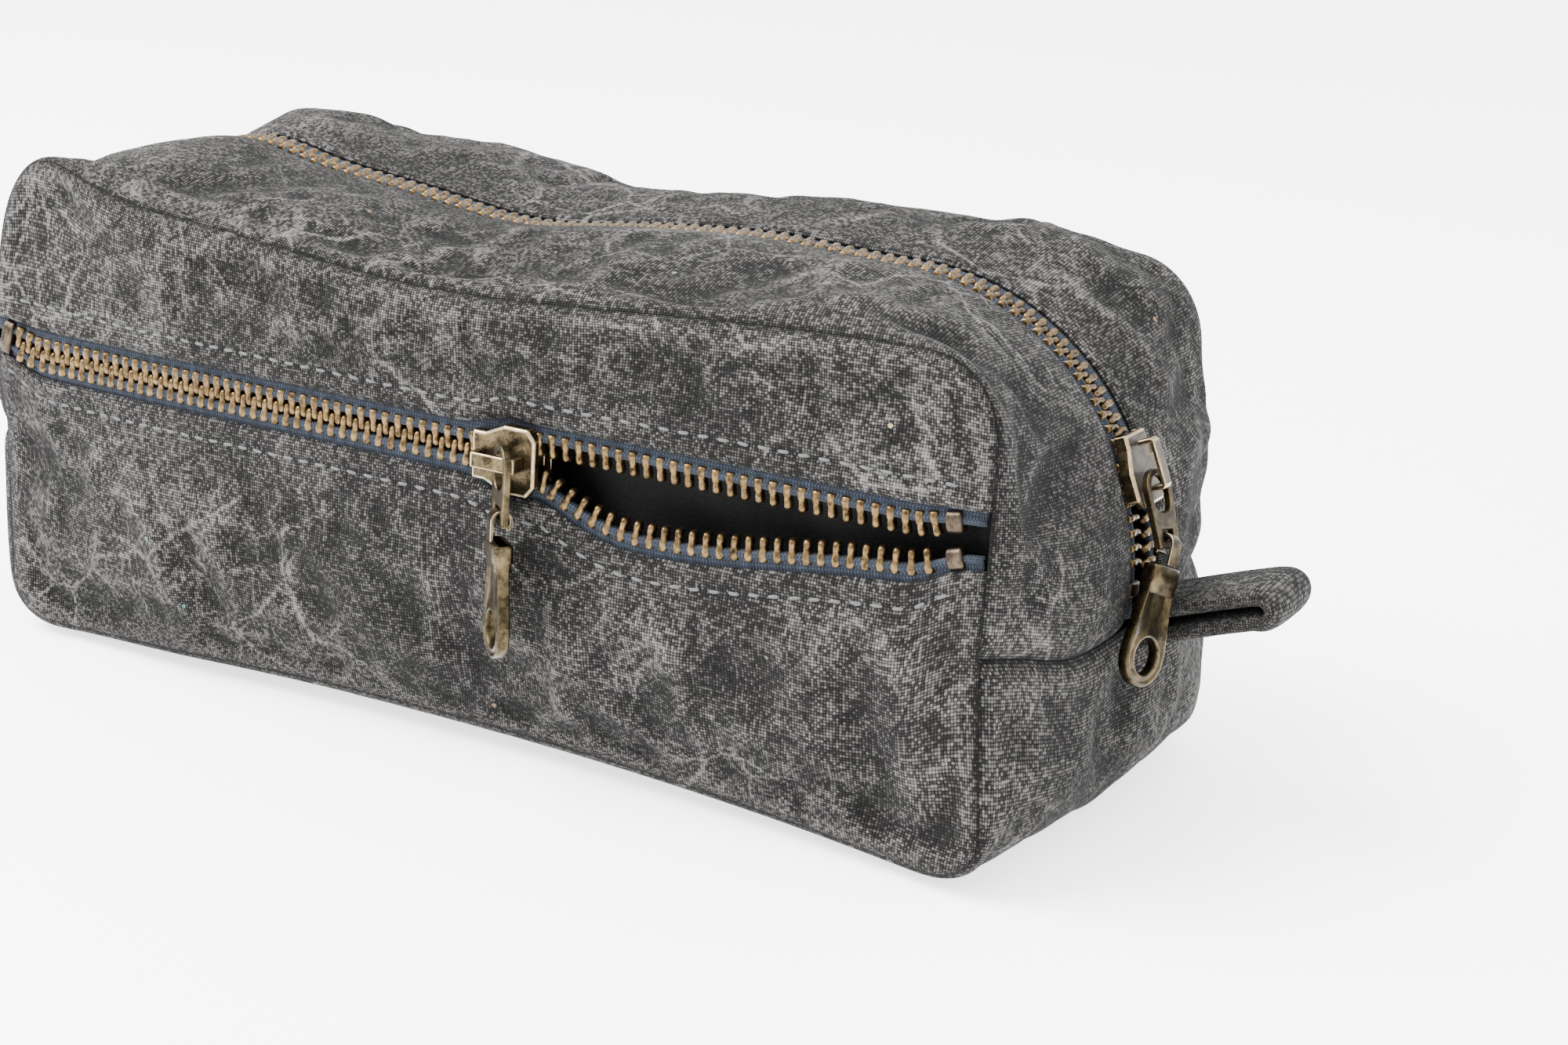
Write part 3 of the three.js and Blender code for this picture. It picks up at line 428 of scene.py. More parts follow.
def canvasMaterial(name, shift):
    # stone-washed canvas: dark yarn with paler crowns, pale veins on the creases, painted shade along the
    # seams, fuzz and lint
    look = canvasLook
    n = Nodes(name)
    uv = n.add("UVMap", uv_map="weave").outputs[0]
    place = n.add("Mapping", {0: uv, 1: (shift, shift * 0.7, 0)}).outputs[0]
    height, chance, threads = plainWeave(n, uv, look["threadsPerMetre"], look["waver"])
    creaseWearAndSeamShade = n.add("Attribute", attribute_name="creaseWearAndSeamShade").outputs[2]
    swirl = n.add("TexNoise", {"Vector": place, "Scale": 28.0, "Detail": 2.0}).outputs[1]
    swirl = n.times(swirl, (0.018, 0.018, 0.018))
    warped = n.add("VectorMath", {0: place, 1: swirl}, operation="ADD").outputs[0]
    veinShare = n.noise(place, 26, 2.0, 0.5)
    cloud = n.noise(place, 46, 4.0, 0.6)
    broad = n.noise(place, 11, 2.0, 0.5)
    mottle = n.noise(place, 420, 3.0, 0.65)
    vein = 0.0
    for scale, wide, weight in look["veins"]:  # thin broken lines along the borders of scattered cells
        border = n.add("TexVoronoi", {"Vector": warped, "Scale": scale, "Randomness": 1.0},
                       feature="DISTANCE_TO_EDGE").outputs[0]
        border = n.calc("ADD", border, n.around(mottle, 0.5 * wide))
        line = n.calc("POWER", n.calc("SUBTRACT", 1.0, n.calc("DIVIDE", border, wide), clamp=True), 1.4)
        vein = n.calc("ADD", vein, n.calc("MULTIPLY", line, weight))
    vein = n.calc("MULTIPLY", vein, n.calc("MULTIPLY_ADD", veinShare, 5.0, -2.2, clamp=True))
    wash = n.calc("MULTIPLY_ADD", vein, look["vein"], look["base"])
    wash = n.calc("ADD", wash, n.around(cloud, look["cloud"]))
    wash = n.calc("ADD", wash, n.around(broad, look["broad"]))
    # the attribute brings both the crease wear and the painted seam shade into the colour
    wash = n.calc("ADD", wash, n.calc("MULTIPLY", creaseWearAndSeamShade, look["creaseWearAndSeamShade"]))
    wash = n.calc("ADD", wash, n.around(mottle, look["mottle"]))
    crown = n.calc("MULTIPLY_ADD", height, look["crown"], -0.44)
    yarns = n.calc("MULTIPLY_ADD", n.calc("SUBTRACT", chance, 0.5), look["chance"], crown)
    slub = n.noise(n.times(threads, (1.0, 0.12, 1.0)), 1.4, 2.0)
    yarns = n.calc("ADD", yarns, n.around(slub, look["slub"]))
    tone = n.calc("ADD", wash, n.calc("MULTIPLY", yarns, n.calc("MULTIPLY_ADD", wash, 1.1, 0.36, clamp=True)))
    colour = n.ramp(tone, [(0.0, look["dark"]), (0.34, look["mid"]), (1.0, look["light"])])
    lint = n.add("TexVoronoi", {"Vector": place, "Scale": 165.0, "Randomness": 1.0})
    pick = n.add("SeparateColor", {0: lint.outputs[1]})
    speck = n.calc("MULTIPLY", n.calc("LESS_THAN", lint.outputs[0], 0.07),
                   n.calc("GREATER_THAN", pick.outputs[0], 0.90))
    colour = n.mix(n.calc("MULTIPLY", speck, 0.6), colour, n.ramp(pick.outputs[1], look["lint"]))
    fuzz = n.noise(uv, 5200, 2.0, 0.7)
    relief = n.calc("ADD", n.calc("MULTIPLY", cloud, 1.1), n.calc("MULTIPLY", vein, 0.30))
    normal = n.bumped(relief, look["creaseDeep"], 0.8)
    nap = n.calc("ADD", height, n.calc("MULTIPLY", fuzz, 0.5))
    normal = n.bumped(nap, look["weaveDeep"], 0.9, normal)
    rough = n.calc("MULTIPLY_ADD", height, -0.08, 0.96)
    return n.finish(Base_Color=colour, Roughness=rough, Normal=normal, Sheen_Weight=0.012,
                    Sheen_Roughness=0.6, Specular_IOR_Level=0.07)


def tapeMaterial():
    # slate-blue zip tape: narrow chevron ribs along it, with paler worn crests
    n = Nodes("slateTape")
    uv = n.add("UVMap", uv_map="weave").outputs[0]
    parts = n.add("SeparateXYZ", {0: uv})
    chevron = n.calc("PINGPONG", n.calc("MULTIPLY", parts.outputs[1], 1400), 1.0)
    rib = n.calc("SINE", n.calc("MULTIPLY_ADD", parts.outputs[0], 11500, n.calc("MULTIPLY", chevron, 3.2)))
    rows = n.calc("SINE", n.calc("MULTIPLY", parts.outputs[1], 9000))
    height = n.calc("ADD", n.calc("MULTIPLY_ADD", rib, 0.35, 0.5), n.calc("MULTIPLY", rows, 0.15))
    worn = n.noise(uv, 500, 4.0, 0.65)
    tone = n.calc("ADD", n.calc("MULTIPLY", height, 0.5), n.calc("MULTIPLY_ADD", worn, 0.9, -0.30))
    colour = n.ramp(tone, [(0.0, (0.0015, 0.0022, 0.004)), (0.45, (0.008, 0.0115, 0.0185)),
                           (1.0, (0.046, 0.058, 0.080))])
    normal = n.bumped(n.calc("ADD", height, n.calc("MULTIPLY", worn, 0.4)), 0.00016, 0.9)
    return n.finish(Base_Color=colour, Roughness=n.calc("MULTIPLY_ADD", worn, 0.15, 0.78), Normal=normal,
                    Sheen_Weight=0.02, Sheen_Roughness=0.5, Specular_IOR_Level=0.2)


def liningMaterial():
    # near-black lining of a fine plain weave with a soft shine
    n = Nodes("blackLining")
    uv = n.add("UVMap", uv_map="weave").outputs[0]
    height, chance, _ = plainWeave(n, uv, 3600, 0.00008)
    folds = n.noise(uv, 45, 3.0, 0.5)
    tone = n.calc("MULTIPLY", height, n.calc("MULTIPLY_ADD", chance, 0.5, 0.5))
    colour = n.ramp(tone, [(0.0, (0.0006, 0.0006, 0.0007)), (1.0, (0.0045, 0.0045, 0.0045))])
    normal = n.bumped(height, 0.00010, 0.8, n.bumped(folds, 0.0012, 0.7))
    return n.finish(Base_Color=colour, Roughness=n.calc("MULTIPLY_ADD", chance, 0.1, 0.52), Normal=normal,
                    Sheen_Weight=0.004, Sheen_Roughness=0.4, Specular_IOR_Level=0.12)


def brassMaterial(name, dark, bright, rough, grain, worn):
    # aged metal: dark finish in the hollows, rubbed brighter in patches and by fine scratches
    n = Nodes(name)
    place = n.add("TexCoord").outputs["Object"]
    patches = n.noise(place, grain, 5.0, 0.62)
    fine = n.noise(place, grain * 9, 3.0, 0.6)
    stretched = n.add("Mapping", {0: place, 2: (0.4, 0.7, 0.3), 3: (1.0, 9.0, 1.0)}).outputs[0]
    scratch = n.calc("POWER", n.noise(stretched, grain * 7, 2.0, 0.5), 3.0)
    rub = n.calc("ADD", n.calc("MULTIPLY_ADD", patches, 1.5, worn - 0.85), n.calc("MULTIPLY", scratch, 0.8))
    rub = n.calc("ADD", rub, n.around(fine, 0.25), clamp=True)
    colour = n.mix(rub, dark, bright)
    shine = n.calc("MULTIPLY_ADD", fine, 0.22, n.calc("MULTIPLY_ADD", rub, -0.10, rough))
    normal = n.bumped(n.calc("ADD", fine, n.calc("MULTIPLY", patches, 0.6)), 0.00003, 0.7)
    return n.finish(Base_Color=colour, Metallic=1.0, Roughness=shine, Normal=normal)


def threadMaterial():
    # pale grey sewing thread with a slanted twist
    n = Nodes("greyThread")
    place = n.add("TexCoord").outputs["Object"]
    parts = n.add("SeparateXYZ", {0: place})
    twist = n.calc("SINE", n.calc("MULTIPLY", n.calc("ADD", parts.outputs[0], parts.outputs[2]), 16000))
    fluff = n.noise(place, 2600, 3.0, 0.6)
    tone = n.calc("ADD", n.calc("MULTIPLY_ADD", twist, 0.25, 0.3), n.calc("MULTIPLY", fluff, 0.5))
    colour = n.ramp(tone, [(0.0, (0.010, 0.010, 0.010)), (1.0, (0.092, 0.092, 0.090))])
    return n.finish(Base_Color=colour, Roughness=n.calc("MULTIPLY_ADD", fluff, 0.2, 0.7),
                    Normal=n.bumped(tone, 0.00008, 0.8))


canvasFront = canvasMaterial("washedCanvasFront", 0.0)
canvasTop = canvasMaterial("washedCanvasTop", 0.37)
canvasBase = canvasMaterial("washedCanvasBase", 0.81)
slateTape = tapeMaterial()
blackLining = liningMaterial()
greyThread = threadMaterial()
toothBrass = brassMaterial("toothBrass", (0.014, 0.009, 0.0045), (0.31, 0.20, 0.088), 0.26, 900, 0.26)
stopBronze = brassMaterial("stopBronze", (0.018, 0.014, 0.010), (0.12, 0.088, 0.062), 0.30, 600, 0.28)
pullBrass = brassMaterial("pullBrass", (0.015, 0.0115, 0.0065), (0.18, 0.135, 0.070), 0.27, 420, 0.18)
rubbedEdge = brassMaterial("rubbedEdge", (0.09, 0.068, 0.038), (0.44, 0.34, 0.20), 0.26, 700, 0.55)
print("materials made")


clothRun = {  # the spare cloth is a share of each length, and no point moves past the cap in millimetres
    "frames": 26, "extraCloth": -0.022, "pressure": 0.35, "bend": 0.6, "stretch": 18.0, "cap": 3.2,
}
clothThickness = 0.9
clothLevels = 2


def spaced(start, end, step, nearStart=(), nearEnd=()):
    # a line of places with given close ones at each end and even steps between
    first = start + np.asarray(nearStart, float) if len(nearStart) else np.array([start])
    last = end - np.asarray(nearEnd, float)[::-1] if len(nearEnd) else np.array([end])
    count = max(int(round((last[0] - first[-1]) / step)), 1)
    middle = np.linspace(first[-1], last[0], count + 1)[1:-1]
    return np.concatenate([first, middle, last])


seamPlaces = (0, 0.7, 1.7, 3.0)  # close rows of points beside a seam
foldPlaces = (0, 0.35, 0.9, 1.8)  # and beside a folded edge


def ridgeValue(points, normals):
    # how much each point stands above the mean of its neighbours along the normal, in millimetres
    padded = np.pad(points, ((1, 1), (1, 1), (0, 0)), mode="edge")
    mean = (padded[2:, 1:-1] + padded[:-2, 1:-1] + padded[1:-1, 2:] + padded[1:-1, :-2]) / 4
    return np.sum((points - mean) * normals, -1)


# three nets of creases: the spacing of their cells, the width of a crease and its height
crumple = {"coarse": (21.0, 2.6, 1.4), "fine": (11.0, 1.6, 0.45), "broad": (40.0, 8.0, 1.9)}


def ridgeNet(u, v, cell, ridge, seed):
    # creases along the borders between scattered points: exp(-(second nearest - nearest) / ridge),
    # faded in and out by slow waves
    dice = np.random.default_rng(seed)
    margin = 2 * cell
    lowU, highU, lowV, highV = u.min() - margin, u.max() + margin, v.min() - margin, v.max() + margin
    count = int((highU - lowU) * (highV - lowV) / cell ** 2)
    seeds = np.stack([dice.uniform(lowU, highU, count), dice.uniform(lowV, highV, count)], 1)
    bendU = u + 2.5 * np.sin(v * 0.21 + seed) + 1.2 * np.sin(v * 0.53 + u * 0.17)
    bendV = v + 2.5 * np.sin(u * 0.19 + 2 * seed) + 1.2 * np.sin(u * 0.47 - v * 0.23)
    far = np.hypot(bendU.ravel()[:, None] - seeds[None, :, 0], bendV.ravel()[:, None] - seeds[None, :, 1])
    near = np.partition(far, 1, axis=1)[:, :2]
    net = np.exp(-(near[:, 1] - near[:, 0]) / ridge).reshape(u.shape)
    fade = 0.55 + 0.45 * np.sin(u * 0.083 + seed) * np.sin(v * 0.11 + 1.7 * seed)
    fade = fade + 0.2 * np.sin(u * 0.031 - v * 0.05)
    return net * np.clip(fade, 0, 1.2)


def runCloth(name, piece, points, weights):
    # the grid run as cloth with a little more cloth than the space holds; each point keeps the part of
    # its move that its pin leaves free, up to the cap
    before = points.reshape(-1, 3)
    group = piece.vertex_groups.new(name="held")
    for level in np.unique(np.round(weights, 2)):
        if level > 0:
            group.add(np.nonzero(np.round(weights, 2) == level)[0].tolist(), float(level), "REPLACE")
    cloth = piece.modifiers.new("cloth", "CLOTH")
    settings = cloth.settings
    settings.vertex_group_mass = "held"
    settings.quality = 5
    settings.mass = 0.0004
    settings.tension_stiffness = clothRun["stretch"]
    settings.compression_stiffness = clothRun["stretch"]
    settings.shear_stiffness = clothRun["stretch"] / 3
    settings.bending_stiffness = clothRun["bend"]
    settings.air_damping = 4.0
    settings.shrink_min = clothRun["extraCloth"]
    settings.use_pressure = True
    settings.uniform_pressure_force = clothRun["pressure"]
    settings.effector_weights.gravity = 0.3
    cloth.collision_settings.use_collision = False
    cloth.point_cache.frame_start = 1
    cloth.point_cache.frame_end = clothRun["frames"]
    for step in range(1, clothRun["frames"] + 1):
        bpy.context.scene.frame_set(step)
    graph = bpy.context.evaluated_depsgraph_get()
    run = np.empty(len(before) * 3)
    piece.evaluated_get(graph).data.vertices.foreach_get("co", run)
    piece.modifiers.remove(cloth)
    bpy.context.scene.frame_set(1)
    moved = run.reshape(-1, 3) / mm - before
    size = np.linalg.norm(moved, axis=1, keepdims=True)
    capped = moved * np.minimum(1, clothRun["cap"] / np.maximum(size, 1e-9))
    print(name, "cloth moved up to %.1f mm" % size.max())
    return (before + capped * (1 - weights[:, None])).reshape(points.shape)


def clothPiece(name, points, weave, pinned, edge, material, outward):
    # a cloth grid pinned at its seams: run as cloth, crumpled along its normal by the three nets of
    # creases, given by distance from the seams its crease wear and a painted shade line along each seam, then
    # smoothed and thickened
    normals = gridNormals(points)
    flip = np.sum(normals * outward) < 0
    facing = -1 if flip else 1
    faces = gridFaces(*points.shape[:2], flip=flip)
    piece = makeObject(name, points, faces, material, "bag", weave=weave)
    points = runCloth(name, piece, points, pinned.ravel())
    seed = sum(map(ord, name)) % 97
    u, v = weave[..., 0], weave[..., 1]
    coarse = ridgeNet(u, v, *crumple["coarse"][:2], seed)
    fine = ridgeNet(u, v, *crumple["fine"][:2], seed + 5)
    broad = ridgeNet(u, v, *crumple["broad"][:2], seed + 11)
    tall = crumple["coarse"][2] * (coarse - 0.25) + crumple["fine"][2] * (fine - 0.25)
    tall = tall + crumple["broad"][2] * (broad - 0.25)
    points = points + (tall * (1 - pinned))[..., None] * gridNormals(points) * facing
    points = clearOfPull(points)
    ridge = ridgeValue(points, gridNormals(points) * facing)
    ridge = 0.24 * np.clip(ridge / 0.30, -1, 1) + 0.40 * (coarse - 0.2) + 0.30 * (fine - 0.2)
    # a paler band beside each seam, and a dark line on the seam itself that is painted shade in the seam's
    # groove
    ridge = ridge * smoothstep(edge, 0.5, 4) + 0.18 * bump(edge, 2.4, 1.2) - 0.55 * bump(edge, 0, 0.5)
    piece.data.vertices.foreach_set("co", (points * mm).ravel())
    piece.data.attributes.new("creaseWearAndSeamShade", "FLOAT", "POINT").data.foreach_set("value", ridge.ravel())
    piece.data.update()
    addModifier(piece, "SUBSURF", levels=clothLevels, render_levels=clothLevels)
    addModifier(piece, "SOLIDIFY", thickness=clothThickness * mm, offset=-1.0)
    return piece


def clearOfPull(points):
    # keeps the front cloth from standing forward of the hanging pull: y is held back in a soft window
    x, y, z = points[..., 0], points[..., 1], points[..., 2]
    window = bump(x, 19, 16) * smoothstep(z, 8, 18) * (1 - smoothstep(z, 62, 72)) * (y < -30)
    limit = -bag["halfWidth"] - 0.1
    points = points.copy()
    points[..., 1] = np.where(y < limit, y + (limit - y) * window, y)
    return points


def seamInward(flat, column):
    # the outline's inward direction at the seam, the same across each row, so both cloths meet there
    along = np.gradient(flat[:, column], axis=0)
    turned = unit(np.stack([-along[:, 2], 0 * along[:, 0], along[:, 0]], 1))
    middle = np.array([0.0, 0.0, bag["seamTopZ"] / 2]) - flat[:, column] * np.array([0.8, 0, 1])
    turned = turned * np.sign(np.sum(turned * middle, 1, keepdims=True))
    return turned[:, None, :]


def outwardNormals(flat, height=40.0):
    # the grid's normals turned away from a point inside the bag
    normal = gridNormals(flat)
    inside = np.array([0, 0, height])
    return normal * np.sign(np.sum(normal * (flat - inside), -1, keepdims=True))


def strip(name, side, puff):
    # one top gusset strip from the fold beside the zip to the side seam, over the whole outline: the
    # outline's grid, rolled in at its seams, folded under at the zip and puffed up by a sine across it
    half = 141.0
    ts = spaced(-half, half, 2.5, seamPlaces, seamPlaces) / half
    ys = side * (bag["slotHalf"] + spaced(0, bag["halfWidth"] - bag["slotHalf"], 2.5, foldPlaces, seamPlaces))
    t, y = np.meshgrid(ts, ys, indexing="ij")
    fold = np.abs(y) - bag["slotHalf"]
    y = y - side * (bag["slotHalf"] - mainFold(t * half)) * (1 - smoothstep(fold, 0, 9))
    flat = gussetPoint(t, y, topZipTable, topSeamTable)
    normal = outwardNormals(flat)
    away = np.array([0.0, -side, 0.0])
    seam = bag["halfWidth"] - np.abs(y)
    ends = (1 - np.abs(t)) * half
    inward = -normal
    points = flat + rolled(seam)[..., None] * (seamInward(flat, -1) + away)
    points = points + 1.3 * rolled(ends)[..., None] * inward
    points += (0.9 * np.clip(1 - fold / 1.5, 0, 1) ** 2)[..., None] * inward
    share = np.clip((np.abs(y) - 8) / (bag["halfWidth"] - 8), 0, 1)
    lift = puff * np.sin(np.pi * share ** 0.9) * (0.35 + 0.65 * smoothstep(flat[..., 2], 60, 84))
    points += lift[..., None] * smoothstep(ends, 0, 20)[..., None] * normal
    points = settle(points)
    pinned = np.maximum.reduce([1 - smoothstep(seam, 2.9, 6), 1 - smoothstep(ends, 2.9, 6),
                                1 - smoothstep(fold, 3, 15)])
    weave = np.stack([t * half, y], -1)
    return clothPiece(name, points, weave, pinned, np.minimum(seam, ends), canvasTop, normal)


def basePiece():
    # the base gusset: floor and lower ends in one piece between the two tab seams, rolled in all round
    half = 128.0
    ts = spaced(-half, half, 3.3, seamPlaces, seamPlaces) / half
    ys = spaced(-bag["halfWidth"], bag["halfWidth"], 3.3, seamPlaces, seamPlaces)
    t, y = np.meshgrid(ts, ys, indexing="ij")
    flat = gussetPoint(t, y, baseZipTable, baseSeamTable)
    normal = outwardNormals(flat)
    seam = bag["halfWidth"] - np.abs(y)
    ends = (1 - np.abs(t)) * half
    away = np.stack([0 * y, -np.sign(y), 0 * y], -1)
    points = flat + rolled(seam)[..., None] * (away + seamInward(flat, -1))
    points = points - 1.3 * rolled(ends)[..., None] * normal
    points = settle(points)
    points[..., 2] = np.maximum(points[..., 2], 0.0)
    pinned = np.maximum.reduce([1 - smoothstep(seam, 2.9, 6), 1 - smoothstep(ends, 2.9, 6),
                                1 - smoothstep(points[..., 2], 1.0, 6.0)])
    weave = np.stack([t * half, y], -1)
    return clothPiece("baseGusset", points, weave, pinned, np.minimum(seam, ends), canvasBase, normal)


stitchPlaces = (0, 0.35, 0.9, 1.8, 3.0, 4.0, 5.0, 6.5)  # and beside a fold with its stitch row
stitchRow = {"fromFold": 4.0, "spacing": 3.5, "length": 2.7, "radius": 0.27, "sink": 0.08, "groove": 0.4}


def panel(name, side, lowEdge, highEdge, zipEdge=None, step=2.5):
    # a front or back panel: columns between a low and a high edge, turned in at the outer seam and
    # folded under along the zip's edge, with a groove under the stitch row. Rows keep their distance
    # from both edges, or share the height evenly where a column is short
    radius = bag["seamTopRadius"]
    turn = np.linspace(0, np.pi / 2, 8)[1:]
    bend = bag["seamEndX"] - radius + radius * np.sin(turn)
    straight = bag["seamEndX"] - radius
    xs = np.concatenate([-bend[::-1], spaced(-straight, straight, step), bend])
    low, high = lowEdge(xs), highEdge(xs)
    tall = high.max() - low.min()
    nearLow = stitchPlaces if zipEdge == "low" else seamPlaces
    nearHigh = stitchPlaces if zipEdge == "high" else seamPlaces
    x, v = np.meshgrid(xs, spaced(0, tall, step, nearLow, nearHigh), indexing="ij")
    low, high = low[:, None], high[:, None]
    mix = smoothstep(v / tall, 0.15, 0.85)
    even = low + (high - low) * v / tall
    z = np.where((high - low) / tall < 0.86, even, (low + v) * (1 - mix) + (high - (tall - v)) * mix)
    inside, away = panelInset(x, z)
    inward = np.zeros(z.shape + (3,))
    inward[..., 1] = -side
    points = np.stack([x, np.full_like(z, side * bag["halfWidth"]), z], -1)
    points = points + rolled(inside)[..., None] * (inward + away)
    pinned = 1 - smoothstep(inside, 2.9, 6)
    if zipEdge:
        fold = v if zipEdge == "low" else tall - v
        points += (0.9 * np.clip(1 - fold / 1.5, 0, 1) ** 2)[..., None] * inward
        points += (stitchRow["groove"] * bump(fold, stitchRow["fromFold"], 1.0))[..., None] * inward
        pinned = np.maximum(pinned, 1 - smoothstep(fold, 6.0, 11.0))
    weave = np.stack([x, z], -1)
    return clothPiece(name, settle(points), weave, pinned, inside, canvasFront, np.array([0.0, side, 0.0]))


def seamBottom(x):
    # the seam outline's lower edge: level, then a quarter circle up at each end
    over = np.clip(np.abs(x) - (bag["seamEndX"] - bag["seamBottomRadius"]), 0, None)
    return bag["seamBottomRadius"] - np.sqrt(np.maximum(bag["seamBottomRadius"] ** 2 - over ** 2, 0))


def seamTop(x):
    # its upper edge: level, then a quarter circle down at each end
    radius = bag["seamTopRadius"]
    over = np.clip(np.abs(x) - (bag["seamEndX"] - radius), 0, None)
    return bag["seamTopZ"] - radius + np.sqrt(np.maximum(radius ** 2 - over ** 2, 0))


def mouthLow(x):
    # the lower panel's folded edge: under the lower teeth by the width of the fold
    return bag["pocketZ"] - mouthDrop(x) - pocketFold(x)


def mouthHigh(x):
    # the upper panel's folded edge: over the upper teeth
    return bag["pocketZ"] + parting(x) + pocketFold(x)


frontLower = panel("frontLowerPanel", -1, seamBottom, mouthLow, "high")
frontUpper = panel("frontUpperPanel", -1, mouthHigh, seamTop, "low")
backPanel = panel("backPanel", 1, seamBottom, seamTop, step=2.9)
stripFront = strip("topGussetFront", -1, 1.6)
stripBack = strip("topGussetBack", 1, 4.2)
baseGusset = basePiece()
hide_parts("front_lower_panel")
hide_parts("front_upper_panel")
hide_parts("back_panel")
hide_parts("top_gusset_front")
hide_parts("top_gusset_back")
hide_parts("base_gusset")
print("cloth panels made")


def pocketAt(s):
    # the pocket zip's straight line, turned in at its ends with the panel: the point, the outward
    # direction and the direction across at s millimetres from the middle
    one = np.ones_like(s)
    turnIn = rolled(bag["seamEndX"] - np.abs(s))
    return (np.stack([s - np.sign(s) * turnIn, turnIn - bag["halfWidth"], bag["pocketZ"] * one], -1),
            np.stack([0 * one, -one, 0 * one], -1), np.stack([0 * one, 0 * one, one], -1))


def mainAt(s):
    # the main zip's line from its middle: level, a quarter circle, then straight down, at each end
    run, side = np.abs(s), np.sign(s)
    a = np.clip((run - mainArcX) / bag["zipRadius"], 0, np.pi / 2)
    down = np.maximum(run - mainArcX - bag["zipRadius"] * np.pi / 2, 0)
    x = side * (np.minimum(run, mainArcX) + bag["zipRadius"] * np.sin(a))
    z = mainArcZ + bag["zipRadius"] * np.cos(a) - down
    one = np.ones_like(s)
    return (np.stack([x, 0 * one, z], -1), np.stack([side * np.sin(a), 0 * one, np.cos(a)], -1),
            np.stack([0 * one, one, 0 * one], -1))


def onZip(at, s, across, depth):
    # a point moved across the zip and inwards, then settled with the bag
    point, outward, side = at(s)
    return settle(point + side * across[..., None] - outward * depth[..., None])


def zipFrames(at, s, across, depth, sign):
    # origin and axes for pieces standing on a row on one side of the zip: along by difference, away from
    # the middle, and outward square to both
    depth = depth + 0 * s
    origin, before, after = (onZip(at, s + step, sign * across(s + step), depth) for step in (0.0, -0.4, 0.4))
    along = unit(after - before)
    point, outward, side = at(s)
    away = sign * side
    away = unit(away - along * np.sum(away * along, -1, keepdims=True))
    up = outward - along * np.sum(outward * along, -1, keepdims=True)
    up = unit(up - away * np.sum(outward * away, -1, keepdims=True))
    return origin, np.stack([along, away, up], 1)


tooth = {  # eight sections from the tape to the tip: place, half sizes and lean along the zip
    "pitch": 2.5,
    "across": [3.05, 2.92, 2.1, 1.35, 0.85, 0.35, -0.45, -0.85],
    "halfWide": [0.62, 0.84, 0.86, 0.76, 0.54, 0.62, 0.63, 0.50],
    "halfThick": [0.85, 1.12, 1.18, 1.08, 0.92, 1.10, 1.06, 0.75],
    "lean": [0.0, 0.0, 0.0, 0.0, 0.05, 0.18, 0.25, 0.25],
}


def toothShape():
    # a clamp that narrows to a neck and widens to a head: eight rounded sections from tape to tip
    x, z = roundedRing(tooth["halfWide"], tooth["halfThick"], 8, 3.0)
    x = x + np.array(tooth["lean"])[:, None]
    y = np.repeat(np.array(tooth["across"])[:, None], 8, 1)
    return np.stack([x, y, z], -1).reshape(-1, 3), barFaces(8, 8)


def toothRow(name, node, at, s, across, sign):
    # one side's teeth, each standing on the zip's line at its own place
    points, faces = toothShape()
    origins, axes = zipFrames(at, s, across, bag["chainDepth"], sign)
    placed, allFaces = copiesOf(points, faces, origins, axes)
    piece = recalculated(makeObject(name, placed, allFaces, toothBrass, "bag"))
    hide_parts(node)
    return piece


tapeProfile = {  # distance from the zip's middle and depth under the canvas
    "across": [1.35, 1.30, 1.55, 2.05, 2.60, 2.95, 3.25, 4.2, 6.0, 9.0, 12.0],
    "depth": [1.95, 1.30, 0.85, 0.68, 0.85, 1.20, 1.34, 1.36, 1.40, 1.42, 1.45],
}


def tape(name, node, at, s, across, sign):
    # the tape's section, with its corded edge, carried along the zip
    rows = len(s)
    a = np.array(tapeProfile["across"])
    d = np.array(tapeProfile["depth"])
    s2, a2 = np.meshgrid(s, a, indexing="ij")
    d2 = np.broadcast_to(d, s2.shape)
    points = onZip(at, s2, sign * (a2 + across(s2)), d2)
    normals = gridNormals(points)
    outward = at(s2)[1]
    flip = np.sum(normals * outward) < 0
    piece = makeObject(name, points, gridFaces(rows, len(a), flip=flip), slateTape, "bag",
                       weave=np.stack([s2, a2], -1))
    addModifier(piece, "SUBSURF", levels=1, render_levels=1)
    addModifier(piece, "SOLIDIFY", thickness=0.4 * mm, offset=-1.0)
    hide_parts(node)
    return piece


def stopPiece(name, node, at, s, across, sign, reach, halfLong):
    # a clamped stop: rounded sections along the zip, every second one a little smaller as a fine groove
    along = np.linspace(-halfLong, halfLong, 15)
    swell = 1 - 0.05 * (np.arange(15) % 2)
    swell[[0, -1]] = 0.84
    middle, halfReach = (reach[0] + reach[1]) / 2, (reach[1] - reach[0]) / 2
    y, z = roundedRing(halfReach * swell, 1.32 * swell, 16, 4.0)
    points = np.stack([np.repeat(along[:, None], 16, 1), y + middle, z], -1).reshape(-1, 3)
    place = np.array([float(s)])
    origins, axes = zipFrames(at, place, across, bag["chainDepth"], sign)
    placed, faces = copiesOf(points, barFaces(15, 16), origins, axes)
    piece = recalculated(makeObject(name, placed, faces, stopBronze, "bag"))
    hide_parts(node)
    return piece


def closed(s):
    # a zip that nothing parts
    return 0 * s


